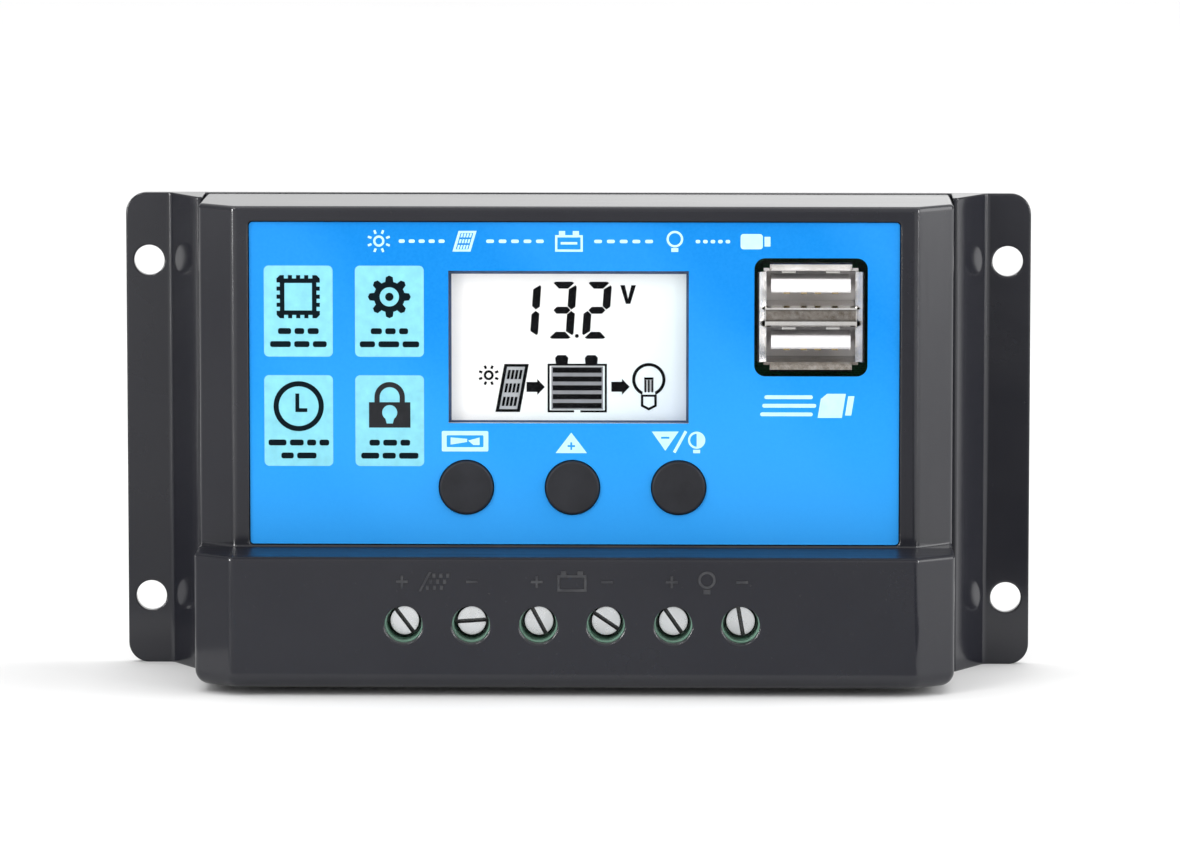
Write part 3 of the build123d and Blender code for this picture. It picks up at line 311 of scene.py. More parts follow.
def brushed(name, colour, rough, stretch, spread=0.15, depth=0.000004, patina=None, shade_and_tarnish_reach=0,
            shaded_patches=()):
    """Plated or brushed metal: streaks along one axis over a mottled plating, and painted shade
    with some tarnish darkening its slots and corners within the reach given as
    shade_and_tarnish_reach, in metres. Each shaded patch is an x range and a z range, in
    millimetres, where painted shade makes the plating dull and brown."""
    n = Surface(name)
    streak = n.noise(stretch, 4, 0.6)
    mottle = n.noise(420, 4, 0.6)
    tone = n.ramp(streak, [(0.25, shade(colour, 1 - spread)), (0.75, shade(colour, 1 + spread))])
    tone = n.mixed(n.spread(mottle, 0.0, 0.5), tone, patina or shade(colour, 0.72))
    # Painted shade: each patch of the shell is mottled dull brown.
    for across, up in shaded_patches:
        patch = n.times(n.within("X", *across), n.within("Z", *up))
        blotched_shade = n.times(patch, n.spread(n.noise(1100, 3, 0.7), 0.7, 1.0))
        tone = n.mixed(blotched_shade, tone, SHADE_BROWN)
    # Painted shade, with some tarnish: slots and corners go dark by how shut in they are.
    if shade_and_tarnish_reach:
        shade_and_tarnish = n.ramp(n.hollows(shade_and_tarnish_reach), SHADE_AND_TARNISH_RAMP)
        tone = n.mixed(shade_and_tarnish, tone, shade(colour, 0.04))
    roughness = n.spread(mottle, rough * 0.75, rough * 1.3)
    return n.wear(tone, roughness, n.bump(streak, depth), Metallic=1.0)


# The print's blue from the label's foot to its top.
LABEL_BLUES = [
    (0.05, (0.024, 0.320, 0.84)),
    (0.4, (0.012, 0.280, 0.76)),
    (0.7, (0.001, 0.220, 0.68)),
    (1.0, (0.0005, 0.210, 0.65)),
]
BAND_TURN = 38
BAND_BLUE, GRAIN_BLUE = (0.045, 0.37, 0.92), (0.04, 0.40, 0.92)


def label_blue():
    """Blue printed sheet: deep at the top, paler lower down, with soft slanting bands and the
    grain of the print."""
    n = Surface("label_blue")
    climb = n.ranged(n.along("Z"), LABEL_LOW.z * MM, LABEL_HIGH.z * MM)
    tone = n.ramp(climb, LABEL_BLUES)
    wave = n.bands("X", 8.0, 0.6, detail=1.0, source=n.mapped(turn=(0, BAND_TURN, 0)))
    bands = n.ramp(wave, [(0.3, BLACK), (0.8, (0.22, 0.22, 0.22))])
    tone = n.mixed(bands, tone, BAND_BLUE)
    grain = n.spread(n.noise(2400, 2), 0.0, 0.10)
    tone = n.mixed(grain, tone, GRAIN_BLUE)
    rough = n.spread(n.noise(160, 3), 0.32, 0.44)
    return n.wear(tone, rough, n.bump(n.noise(1800, 2), 0.000004), Specular_IOR_Level=0.12)


def print_ink(name, colour, uneven=0.08):
    """Screen-printed ink: nearly flat, with slight mottling and a soft sheen."""
    n = Surface(name)
    mottle = n.noise(700, 4, 0.6)
    tone = n.ramp(mottle, [(0.3, shade(colour, 1 - uneven)), (0.7, shade(colour, 1 + uneven))])
    rough = n.spread(n.noise(300, 2), 0.38, 0.5)
    return n.wear(tone, rough, n.bump(mottle, 0.000003), Specular_IOR_Level=0.06)


# The display's tone from its upper left to its lower right, and its fall for each metre.
FILM_TONES = [(0.15, (0.93, 0.92, 0.90)), (0.55, (0.82, 0.92, 0.93)), (0.95, (0.66, 0.74, 0.84))]
FALL_RIGHT, FALL_UP, FALL_START = 24.0, -22.0, 0.62


def display_film():
    """The lit face of the display: nearly white, bluer and darker to the lower right."""
    n = Surface("display_film")
    slide = n.times_plus(n.along("X"), FALL_RIGHT, FALL_START)
    fall = n.times_plus(n.along("Z"), FALL_UP, slide)
    tone = n.ramp(fall, FILM_TONES)
    grain = n.spread(n.noise(3000, 1), 0.0, 0.05)
    tone = n.mixed(grain, tone, (0.7, 0.74, 0.76))
    rough = n.spread(n.noise(500, 2), 0.45, 0.6)
    n.join(tone, n.shader.inputs["Emission Color"])
    return n.wear(tone, rough, n.bump(n.noise(2500, 1), 0.000002), Emission_Strength=0.16)


SMEAR_ROUGHNESS = (0.036, 0.096)


def clear_sheet(name, tint, alpha, gloss=0.5):
    """A thin clear layer: mostly see-through, with a faint smear on its gloss."""
    n = Surface(name)
    tone = n.ramp(n.noise(60, 3), [(0.3, shade(tint, 0.95)), (0.7, tint)])
    smear = n.spread(n.noise((90, 90, 25), 4), *SMEAR_ROUGHNESS)
    ripple = n.bump(n.noise(140, 2), 0.000002)
    return n.wear(tone, smear, ripple, Alpha=alpha, Specular_IOR_Level=gloss)


MASK_GREENS = {"Color1": (0.012, 0.16, 0.05, 1), "Color2": (0.016, 0.20, 0.07, 1)}
TRACES = {"Mortar": (0.03, 0.32, 0.12, 1), "Mortar Size": 0.06}


def circuit_board():
    """Green solder mask over copper tracks: a brick net of paler traces, with painted shade
    where the board lies deep among other parts.
    """
    n = Surface("circuit_board")
    brick = n.add("ShaderNodeTexBrick", {**MASK_GREENS, **TRACES})
    n.join(n.mapped(160, turn=(90, 0, 0)), brick.inputs["Vector"])
    cloth = n.noise(1600, 2)
    tone = n.mixed(n.spread(cloth, 0.0, 0.3), brick.outputs["Color"], (0.01, 0.12, 0.04))
    # Painted shade where the board lies deep under other parts.
    depth_shade = n.ramp(n.hollows(0.006), [(0.25, WHITE), (0.75, BLACK)])
    tone = n.mixed(depth_shade, tone, (0.002, 0.006, 0.010))
    rough = n.spread(n.noise(90, 3), 0.22, 0.4)
    return n.wear(tone, rough, n.bump(brick.outputs["Fac"], 0.00003))


def wound_wire():
    """Enamelled copper: close turns as ridges, with a painted highlight on the crown of each
    and painted shade in the grooves between them.
    """
    n = Surface("wound_wire")
    turns = n.bands("Y", 480.0, 0.4)
    # Painted highlight on each turn's crown, painted shade in the grooves between.
    tone = n.ramp(turns, [(0.2, (0.22, 0.06, 0.02)), (0.8, (0.72, 0.30, 0.12))])
    rough = n.spread(n.noise(500, 3), 0.2, 0.38)
    return n.wear(tone, rough, n.bump(turns, 0.0002), Metallic=0.85)


def button_black():
    """Satin black key: a fine leathery grain, almost no shine."""
    n = Surface("button_black")
    cloud = n.noise(240, 3)
    tone = n.ramp(cloud, [(0.3, (0.0125, 0.013, 0.0165)), (0.7, (0.020, 0.021, 0.026))])
    rough = n.spread(n.noise(600, 2), 0.5, 0.66)
    return n.wear(tone, rough, n.bump(n.noise(2200, 2), 0.00001), Specular_IOR_Level=0.2)


ZINC = (0.78, 0.80, 0.79)
BRIGHT_ZINC, BRIGHT_ZINC_PATINA = (0.96, 0.98, 0.97), (0.8, 0.82, 0.81)
NICKEL, NICKEL_PATINA = (0.93, 0.91, 0.87), (0.66, 0.62, 0.57)
# Where painted shade darkens the socket's shell: its x and z ranges, in millimetres.
SOCKET_SHADE_PATCHES = [((27.6, 40.6), (18.22, 19.88)), ((27.0, 41.2), (10.0, 12.2))]


def slot_materials():
    """One procedural material for each material slot of the record."""
    return {
        "case": case_black(),
        "label": label_blue(),
        "window": clear_sheet("window_acrylic", (0.02, 0.021, 0.024), 0.05, gloss=0.2),
        "polariser": display_film(),
        "display_glass": clear_sheet("display_glass", (0.86, 0.9, 0.88), 0.35),
        "light_guide": moulded("light_guide", (0.85, 0.88, 0.92), 0.5, spread=0.04),
        "white_plastic": moulded("frame_white", (0.78, 0.78, 0.75), 0.4, spread=0.04),
        "tinned_steel": brushed("tinned_steel", (0.72, 0.72, 0.73), 0.3, (300, 300, 2000)),
        "board": circuit_board(),
        "terminal_green": moulded("terminal_green", (0.25, 0.47, 0.35), 0.22, depth=0.00001),
        "brass": brushed("tinned_brass", (0.80, 0.66, 0.36), 0.28, (1800, 300, 300)),
        "nickel_steel": brushed("nickel_shell", NICKEL, 0.2, (260, 2200, 260),
                                patina=NICKEL_PATINA, shade_and_tarnish_reach=0.0006, shaded_patches=SOCKET_SHADE_PATCHES),
        "socket_white": moulded("socket_white", (0.86, 0.84, 0.85), 0.38, spread=0.03),
        "gold_contact": brushed("gold_contact", (0.50, 0.37, 0.17), 0.25, (300, 2400, 300)),
        "black_resin": moulded("black_resin", (0.018, 0.018, 0.02), 0.5, depth=0.000012),
        "aluminium": brushed("mill_aluminium", (0.78, 0.79, 0.8), 0.34, (1600, 200, 200)),
        "silicone": moulded("silicone_pad", (0.42, 0.44, 0.48), 0.75, depth=0.00002),
        "tinned_copper": brushed("tinned_copper", (0.74, 0.73, 0.72), 0.26, (900, 900, 300)),
        "zinc_steel": brushed("zinc_steel", ZINC, 0.28, (500, 500, 500)),
        "can_sleeve": moulded("can_sleeve", (0.02, 0.022, 0.03), 0.3, spread=0.2),
        "ferrite": moulded("ferrite", (0.045, 0.045, 0.05), 0.8, depth=0.00003, spread=0.25),
        "copper_wire": wound_wire(),
        "resistor_black": moulded("resistor_glaze", (0.03, 0.03, 0.034), 0.25),
        "black_screw": brushed("black_oxide", (0.10, 0.10, 0.11), 0.42, (700, 700, 700)),
        "button": button_black(),
        "plunger": moulded("plunger_black", (0.025, 0.025, 0.027), 0.5),
        "screw_zinc": brushed("bright_zinc", BRIGHT_ZINC, 0.26, (420, 420, 420), spread=0.04,
                              depth=0.000006, patina=BRIGHT_ZINC_PATINA, shade_and_tarnish_reach=0.0011),
        "cage_steel": brushed("cage_steel", ZINC, 0.3, (300, 300, 1500)),
    }


# ---- Flat drawings ------------------------------------------------------------------------


def rectangle(x0, z0, x1, z1):
    return [(x0, z0), (x1, z0), (x1, z1), (x0, z1)]


def polar(x, z, radius, angle):
    """The point at a distance and an angle, in degrees, from x and z."""
    turn = math.radians(angle)
    return (x + radius * math.cos(turn), z + radius * math.sin(turn))


def arc(x, z, radius, start, end, steps):
    """Points on an arc, from start to end in degrees."""
    return [polar(x, z, radius, start + (end - start) * i / steps) for i in range(steps + 1)]


def circle(x, z, radius, steps=48):
    """A closed circle of the given number of points."""
    return arc(x, z, radius, 0, 360 - 360 / steps, steps - 1)


def rounded(x, z, width, height, radius, steps=8):
    """A rectangle with round corners, by its centre."""
    dx, dz = width / 2 - radius, height / 2 - radius
    points = []
    for side_x, side_z, start in ((1, 1, 0), (-1, 1, 90), (-1, -1, 180), (1, -1, 270)):
        points += arc(x + side_x * dx, z + side_z * dz, radius, start, start + 90, steps)
    return points


def moved(points, x, z, slant=0.0):
    """Points shifted by x and z, leaning to the right by slant for each millimetre up."""
    return [(px + x + slant * pz, pz + z) for px, pz in points]


def mirrored(points, x):
    """Points mirrored left to right about x."""
    return [(2 * x - px, pz) for px, pz in points]


def stroke(x0, z0, x1, z1, width):
    """A straight bar of the given width between two points."""
    along = Vector((x1 - x0, z1 - z0)).normalized()
    across = Vector((-along.y, along.x)) * width / 2
    corners = [(x0, z0, 1), (x1, z1, 1), (x1, z1, -1), (x0, z0, -1)]
    return [(x + across.x * side, z + across.y * side) for x, z, side in corners]


def plus_sign(x, z, reach, half_line):
    """A plus sign, by the reach of its arms and half the width of its line."""
    arm = [(half_line, half_line), (half_line, reach), (-half_line, reach)]
    points = []
    for _ in range(4):
        points += moved(arm, x, z)
        arm = [(-pz, px) for px, pz in arm]
    return points


WELD_DISTANCE = 1e-7


def curve_mesh(name, outlines, thickness):
    """A flat mesh of closed outlines, where an outline inside another is a hole."""
    curve = bpy.data.curves.new(name, "CURVE")
    curve.dimensions = "2D"
    curve.fill_mode = "BOTH"
    curve.extrude = thickness / 2 * MM
    for points in outlines:
        spline = curve.splines.new("POLY")
        spline.points.add(len(points) - 1)
        for point, (x, z) in zip(spline.points, points):
            point.co = (x * MM, z * MM, 0, 1)
        spline.use_cyclic_u = True
    holder = bpy.data.objects.new(name, curve)
    mesh = bpy.data.meshes.new_from_object(holder)
    bpy.data.objects.remove(holder)
    bpy.data.curves.remove(curve)
    return mesh


def drawing(name, groups, low, high, material, body="housing"):
    """A thin raised drawing facing -Y, between heights low and high. Each group is a list of
    closed outlines, where an outline inside another is a hole."""
    joined = bmesh.new()
    for outlines in groups:
        part = curve_mesh(name, outlines, high - low)
        joined.from_mesh(part)
        bpy.data.meshes.remove(part)
    middle = Matrix.Translation((0, -(low + high) / 2 * MM, 0))
    upright = middle @ Matrix.Rotation(math.radians(90), 4, "X")
    bmesh.ops.transform(joined, matrix=upright, verts=joined.verts)
    bmesh.ops.remove_doubles(joined, verts=joined.verts, dist=WELD_DISTANCE)
    bmesh.ops.recalc_face_normals(joined, faces=joined.faces)
    mesh = bpy.data.meshes.new(name)
    joined.to_mesh(mesh)
    joined.free()
    mesh.materials.append(material)
    piece = bpy.data.objects.new(name, mesh)
    bpy.context.scene.collection.objects.link(piece)
    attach(piece, body)


# ---- Label print --------------------------------------------------------------------------

PRINT_THICKNESS = 0.03

# The middles of the tiles' two columns and two rows, and the size of a tile.
TILE_X = (-40.1, -26.9)
TILE_Z = (19.65, 3.7)
TILE_WIDTH, TILE_HEIGHT, TILE_CORNER = 9.97, 13.25, 0.7

# The icon's rise over a tile's middle, and its caption of dashes below.
ICON_RISE = 2.1
CAPTION_DROP, LOWER_CAPTION_DROP = 2.9, 0.3
DASH_HEIGHT, DASH_GAP, DASH_ROW_PITCH = 0.85, 0.5, 1.9


def chip_icon(x, z):
    """A square frame with small teeth on every side."""
    half, inner, tooth, teeth = 2.65, 2.0, 0.48, 4
    steps = 2 * teeth + 1
    outline = []
    for side in range(4):
        turn = math.radians(90 * side)
        out = Vector((math.cos(turn), math.sin(turn)))
        along = Vector((-math.sin(turn), math.cos(turn)))
        for step in range(steps):
            reach = half + tooth if step % 2 == 0 else half
            for end in (step, step + 1):
                point = out * reach + along * half * (2 * end / steps - 1)
                outline.append((x + point.x, z + point.y))
    return [[outline, rectangle(x - inner, z - inner, x + inner, z + inner)]]


def gear_icon(x, z):
    """A gear ring with eight round-ended teeth and a dot at its centre."""
    valley, shoulder, tip, inner, dot = 2.25, 2.9, 3.1, 1.4, 0.6
    tooth = ((-15, valley), (-10, shoulder), (0, tip), (10, shoulder), (15, valley), (22.5, valley))
    outline = []
    for middle in range(0, 360, 45):
        outline += [polar(x, z, reach, middle + turn) for turn, reach in tooth]
    return [[outline, circle(x, z, inner)], [circle(x, z, dot, 24)]]


def clock_icon(x, z):
    """A ring with two hands at three o'clock."""
    hands = [(-0.28, 1.85), (0.28, 1.85), (0.28, -0.3), (1.45, -0.3), (1.45, -0.85), (-0.28, -0.85)]
    return [[circle(x, z, 3.65), circle(x, z, 2.9)], [moved(hands, x - 0.2, z)]]


def lock_icon(x, z):
    """A padlock: a body with a keyhole under a round shackle."""
    half_width, foot, brow = 3.0, z - 3.1, z + 0.6
    shackle, bore, crown = 2.2, 1.45, z + 1.35
    body = rectangle(x - half_width, foot, x + half_width, brow)
    keyhole = arc(x, z - 0.9, 1.1, -55, 235, 24) + [(x - 0.45, z - 2.5), (x + 0.45, z - 2.5)]
    outside = [(x + shackle, brow)] + arc(x, crown, shackle, 0, 180, 24) + [(x - shackle, brow)]
    inside = [(x - bore, brow)] + arc(x, crown, bore, 180, 0, 24) + [(x + bore, brow)]
    return [[body, keyhole], [outside + inside]]


def caption_dashes(x, z, rows):
    """Rows of plain dashes, by their widths, in place of a caption."""
    groups = []
    for row, widths in enumerate(rows):
        up = z - row * DASH_ROW_PITCH
        left = x - (sum(widths) + DASH_GAP * (len(widths) - 1)) / 2
        for width in widths:
            groups.append([rounded(left + width / 2, up, width, DASH_HEIGHT, 0.3, 3)])
            left += width + DASH_GAP
    return groups


# The icon of each tile, and the widths of its dashes row by row.
TILES = [
    (chip_icon, [(1.9, 1.4, 1.6), (3.0, 2.2, 2.0)]),
    (gear_icon, [(1.6, 1.5, 1.3), (2.2, 3.0, 2.4)]),
    (clock_icon, [(2.6, 2.0, 1.3, 1.4), (1.8, 2.8)]),
    (lock_icon, [(1.5, 2.0, 1.4), (2.6, 1.9, 2.8)]),
]


def print_tiles():
    """Four pale tiles with their icons and dashes."""
    top = LABEL_TOP + PRINT_THICKNESS
    pale = print_ink("ink_pale_cyan", (0.235, 0.62, 0.74))
    dark = print_ink("ink_dark", (0.0012, 0.007, 0.011), 0.2)
    slate = print_ink("ink_slate", (0.022, 0.023, 0.026), 0.15)
    tiles, icons, locks = [], [], []
    for place, (icon, caption) in enumerate(TILES):
        row, column = divmod(place, 2)
        x, z = TILE_X[column], TILE_Z[row]
        tiles.append([rounded(x, z, TILE_WIDTH, TILE_HEIGHT, TILE_CORNER)])
        target = locks if icon is lock_icon else icons
        target += icon(x, z + ICON_RISE)
        icons += caption_dashes(x, z - CAPTION_DROP - LOWER_CAPTION_DROP * row, caption)
    drawing("label_tiles", tiles, LABEL_TOP, top, pale)
    drawing("tile_icons", icons, top, top + PRINT_THICKNESS, dark)
    drawing("tile_padlock", locks, top, top + PRINT_THICKNESS, slate)


def sun(x, z, radius, width):
    """A small sun: a ring and eight rays."""
    ring, ray_start = radius * 0.48, radius * 0.68
    groups = [[circle(x, z, ring, 24), circle(x, z, ring - width, 24)]]
    for ray in range(8):
        angle = 45 * ray + 22.5
        groups.append([stroke(*polar(x, z, ray_start, angle), *polar(x, z, radius, angle), width)])
    return groups


def leaning_panel(x, z, width, height, lean, line):
    """A solar panel seen at a slant, with three rows of four cells."""
    half_w, half_h = width / 2, height / 2
    outer = rectangle(-half_w, -half_h, half_w, half_h)
    inner = rectangle(-half_w + line * 1.2, -half_h + line, half_w - line * 1.2, half_h - line)
    slant = lean / height
    groups = [[moved(outer, x, z, slant), moved(inner, x, z, slant)]]
    cell_w, cell_h = width * 0.052, height * 0.095
    for row in (-1, 0, 1):
        for column in (-1.5, -0.5, 0.5, 1.5):
            cx, cz = column * width * 0.16, row * height * 0.28
            cell = rectangle(cx - cell_w, cz - cell_h, cx + cell_w, cz + cell_h)
            groups.append([moved(cell, x, z, slant)])
    return groups


def battery_outline(x, z, width, height, line):
    """A battery: a frame with two terminals on top and a minus sign inside."""
    terminal = 0.6
    low, high = z - height / 2, z + height / 2 - terminal
    outer = rectangle(x - width / 2, low, x + width / 2, high)
    inner = rectangle(x - width / 2 + line, low + line, x + width / 2 - line, high - line)
    groups = [[outer, inner]]
    for side in (-1, 1):
        cx = x + side * width * 0.25
        groups.append([rectangle(cx - 0.45, high, cx + 0.45, high + terminal)])
    groups.append([rectangle(x - width * 0.3, z - 0.45, x + width * 0.3, z - 0.1)])
    return groups


def small_lamp(x, z, radius, line):
    """A lamp: a ring over a short base."""
    ring = [circle(x, z + 0.35, radius, 32), circle(x, z + 0.35, radius - line, 32)]
    return [ring, [rectangle(x - 0.5, z - 1.5, x + 0.5, z - 0.95)]]


def plug_outline(x, z):
    """A plug: a body with round corners and a narrower tip."""
    body = rounded(x - 0.5, z, 3.2, 2.2, 0.4, 4)
    tip = rectangle(x + 1.35, z - 0.7, x + 2.2, z + 0.7)
    return [[body], [tip]]


TITLE_Z, TITLE_HEIGHT, TITLE_LINE = 29.85, 3.0, 0.32
TITLE_SUN_X, TITLE_PANEL_X, TITLE_BATTERY_X = -28.4, -16.0, -0.9
TITLE_LAMP_X, TITLE_PLUG_X = 14.4, 26.0

# Runs of dashes between the pictograms, each from its start to its end.
TITLE_RUNS = [(-25.8, -18.6), (-13.2, -4.2), (2.4, 11.6), (17.2, 22.6)]
TITLE_DASHES = 5


def title_strip():
    """A row of plain pictograms and dashes across the top of the label, where a title would be."""
    groups = sun(TITLE_SUN_X, TITLE_Z, 1.7, TITLE_LINE)
    groups += leaning_panel(TITLE_PANEL_X, TITLE_Z, 2.6, TITLE_HEIGHT, 0.9, TITLE_LINE)
    groups += battery_outline(TITLE_BATTERY_X, TITLE_Z, 4.0, TITLE_HEIGHT, TITLE_LINE)
    groups += small_lamp(TITLE_LAMP_X, TITLE_Z, 1.2, TITLE_LINE)
    groups += plug_outline(TITLE_PLUG_X, TITLE_Z)
    for start, end in TITLE_RUNS:
        pitch = (end - start) / TITLE_DASHES
        for dash in range(TITLE_DASHES):
            x = start + pitch * (dash + 0.5)
            groups.append([rounded(x, TITLE_Z, pitch * 0.62, 0.5, 0.22, 3)])
    return groups


def socket_mark():
    """Three cable stripes that run into a slanting plug, under the double socket."""
    z, lean, pitch = 6.0, 0.16, 1.25
    plug_x, contact_x = 37.4, 39.3
    groups = []
    for row, (start, end) in zip((1, 0, -1), ((27.4, 34.4), (27.1, 34.9), (26.8, 34.4))):
        stripe = rounded((start + end) / 2, z + row * pitch, end - start, 0.55, 0.25, 3)
        groups.append([stripe])
    plug = [(-2.0, -1.75), (1.5, -1.75), (1.5, 1.75), (-1.2, 1.75), (-2.0, 1.0)]
    groups.append([moved(plug, plug_x, z, lean)])
    groups.append([moved(rectangle(0, -1.4, 0.9, 1.4), contact_x, z, lean)])
    return groups


def menu_mark(x, z):
    """A frame round two wedges that point at each other."""
    border = [rounded(x, z, 6.75, 2.98, 0.2, 3), rounded(x, z, 5.35, 1.75, 0.15, 3)]
    left = [(-2.1, -0.5), (0.3, -0.1), (0.3, 0.35), (-2.1, 0.55)]
    right = [(0.45, 0.1), (2.1, 0.55), (2.1, -0.55), (1.2, -0.55)]
    return [border, [moved(left, x, z)], [moved(right, x, z)]]


def up_mark(x, z):
    """A triangle that points up, with a plus sign cut through it."""
    triangle = [(-2.275, -1.02), (2.275, -1.02), (0, 1.97)]
    return [[moved(triangle, x, z), plus_sign(x, z, 0.55, 0.14)]]


def down_mark(x, z):
    """A triangle that points down, with a minus sign cut through it."""
    triangle = [(-1.95, 0.9), (1.95, 0.9), (0, -1.9)]
    return [[moved(triangle, x, z), rectangle(x - 0.6, z - 0.15, x + 0.6, z + 0.15)]]


def half_lamp(x, z):
    """A lamp with its left half cut out, over a short base."""
    bulb = [circle(x, z, 1.25, 32), arc(x, z, 0.95, 90, 270, 16)]
    return [bulb, [rectangle(x - 0.5, z - 1.9, x + 0.5, z - 1.4)]]


MENU_MARK, UP_MARK = (-15.98, 0.73), (-0.575, 0.05)
DOWN_MARK, LAMP_MARK = (13.05, 1.3), (17.6, 0.95)
SLASH_FOOT, SLASH_TOP, SLASH_WIDTH = (14.35, -0.85), (16.05, 2.25), 0.42


def key_marks():
    """The marks over the three keys: menu, up, and down with a lamp after a slash."""
    groups = menu_mark(*MENU_MARK) + up_mark(*UP_MARK) + down_mark(*DOWN_MARK)
    groups.append([stroke(*SLASH_FOOT, *SLASH_TOP, SLASH_WIDTH)])
    return groups + half_lamp(*LAMP_MARK)


def print_label():
    """Everything printed on the label."""
    print_tiles()
    pale = print_ink("ink_white_cyan", (0.52, 0.88, 1.0))
    top = LABEL_TOP + PRINT_THICKNESS
    drawing("title_pictograms", title_strip(), LABEL_TOP, top, pale)
    drawing("key_marks", key_marks(), LABEL_TOP, top, pale)
    drawing("socket_mark", socket_mark(), LABEL_TOP, top, pale)


# ---- Display ------------------------------------------------------------------------------

# A digit's cell, the widths of its segments, and the segments that each digit lights.
DIGIT_WIDTH, DIGIT_HEIGHT, DIGIT_LEAN, DIGIT_GAP = 3.8, 8.3, 0.07, 0.11
BAR_STROKE, SIDE_STROKE, TIP_CUT = 1.0, 1.12, 0.3
LIT = {"1": "bc", "2": "abged", "3": "abgcd"}

# What the display shows, and where.
READING = (("1", -9.3), ("3", -4.15), ("2", 0.92))
DIGIT_FOOT = 15.5
POINT_PLACE, POINT_RADIUS = (0.2, 15.9), 0.28
UNIT_PLACE = (7.625, 23.3)
SUN_PLACE = (-12.6, 10.15)
ARROW_PLACES = ((-7.1, 8.45), (5.2, 8.5))
PANEL_X, PANEL_Z = -9.2, 8.3
BATTERY_X, BATTERY_FOOT = 0.25, 4.75
LAMP_X, LAMP_Z = 10.64, 9.55


def segment_bar(name):
    """One segment of a digit whose cell starts at the origin. The outer bars are trapezia with
    their long side outwards, and the middle one is pointed at both ends."""
    width, half, gap = DIGIT_WIDTH, DIGIT_HEIGHT / 2, DIGIT_GAP
    bar, side, cut = BAR_STROKE, SIDE_STROKE, TIP_CUT
    if name in "ad":
        points = [(gap + cut * 2, 0), (width - gap - cut * 2, 0), (width - gap - cut, cut * 0.6),
                  (width - side - gap, bar), (side + gap, bar), (gap + cut, cut * 0.6)]
        return points if name == "d" else [(px, 2 * half - pz) for px, pz in points]
    if name == "g":
        low, high, tip = half - bar / 2, half + bar / 2, side / 2 + gap
        return [(tip, half), (tip * 1.7, low), (width - tip * 1.7, low), (width - tip, half),
                (width - tip * 1.7, high), (tip * 1.7, high)]
    points = [(0, gap * 2 + cut * 1.8), (cut * 0.6, gap * 2 + cut), (side, bar + gap),
              (side, half - bar / 2 - gap), (side / 2, half - gap), (0, half - bar / 2)]
    if name in "bf":
        points = [(px, 2 * half - pz) for px, pz in points]
    return points if name in "ef" else mirrored(points, width / 2)


def digit(character, x, z):
    """One leaning seven-segment digit, by the lower left corner of its cell."""
    return [[moved(segment_bar(name), x, z, DIGIT_LEAN)] for name in LIT[character]]


def unit_mark(x, z):
    """The letter of the unit: a narrow v with a flat foot, by the middle of its top."""
    inside = [(-0.475, 0), (-0.005, -2.0), (0.475, 0)]
    outside = [(1.125, 0), (0.325, -2.7), (-0.325, -2.7), (-1.125, 0)]
    return [[moved(inside + outside, x, z)]]


def arrow(x, z):
    """A short thick arrow to the right."""
    shaft, neck, tip, barb = 0.72, 1.55, 2.65, 1.15
    lower = [(0, -shaft), (neck, -shaft), (neck, -barb)]
    upper = [(neck, barb), (neck, shaft), (0, shaft)]
    return [[moved(lower + [(tip, 0)] + upper, x, z)]]


def battery_picture(x, low):
    """A battery with two terminals and five bars, its frame open at the middle of its foot."""
    half, height, line, notch = 4.3, 7.1, 0.3, 0.45
    high = low + height
    outer = [(x + notch, low), (x + half, low), (x + half, high)]
    inner = [(x + half - line, high - line), (x + half - line, low + line), (x + notch, low + line)]
    frame_line = outer + mirrored(outer[::-1], x) + mirrored(inner[::-1], x) + inner
    groups = [[frame_line]]
    terminal = [(-0.85, 0), (0.85, 0), (0.95, 0.85), (0.6, 1.25), (-0.6, 1.25), (-0.95, 0.85)]
    for offset in (-2.25, 2.05):
        groups.append([moved(terminal, x + offset, high)])
    bar_pitch, bar_reach, bar_half = 1.29, half - 0.75, 0.37
    for bar in range(5):
        z = low + 1.0 + bar * bar_pitch
        groups.append([rectangle(x - bar_reach, z - bar_half, x + bar_reach, z + bar_half)])
    return groups


def lamp_picture(x, z):
    """A lamp: a bulb open at its neck, with a pointed base and a filament on three wires."""
    radius, line, neck, lip = 2.42, 0.45, 0.95, 4
    gap = math.degrees(math.acos(neck / radius))
    outer = arc(x, z, radius, -gap, 180 + gap, 40)
    inner = arc(x, z, radius - line, 180 + gap - lip, lip - gap, 40)
    base = [(-1.15, -2.2), (1.15, -2.2), (1.15, -3.9), (0, -4.5), (-1.15, -3.9)]
    hole = [(-0.8, -2.5), (0.8, -2.5), (0.8, -3.7), (0, -4.1), (-0.8, -3.7)]
    groups = [[outer + inner], [moved(base, x, z), moved(hole, x, z)]]
    for offset in (-0.5, 0.0, 0.5):
        groups.append([stroke(x + offset, z - 1.85, x + offset, z - 0.05, 0.24)])
    groups.append([stroke(x - 0.68, z + 0.15, x + 0.68, z + 0.15, 0.34)])
    return groups


def display_readout():
    """The digits, the unit mark and the row of pictures below them."""
    groups = []
    for character, x in READING:
        groups += digit(character, x, DIGIT_FOOT)
    groups.append([circle(*POINT_PLACE, POINT_RADIUS, 20)])
    groups += unit_mark(*UNIT_PLACE)
    groups += sun(*SUN_PLACE, 1.5, 0.34)
    groups += leaning_panel(PANEL_X, PANEL_Z, 3.55, 7.0, 1.3, 0.4)
    for place in ARROW_PLACES:
        groups += arrow(*place)
    groups += battery_picture(BATTERY_X, BATTERY_FOOT)
    groups += lamp_picture(LAMP_X, LAMP_Z)
    return groups


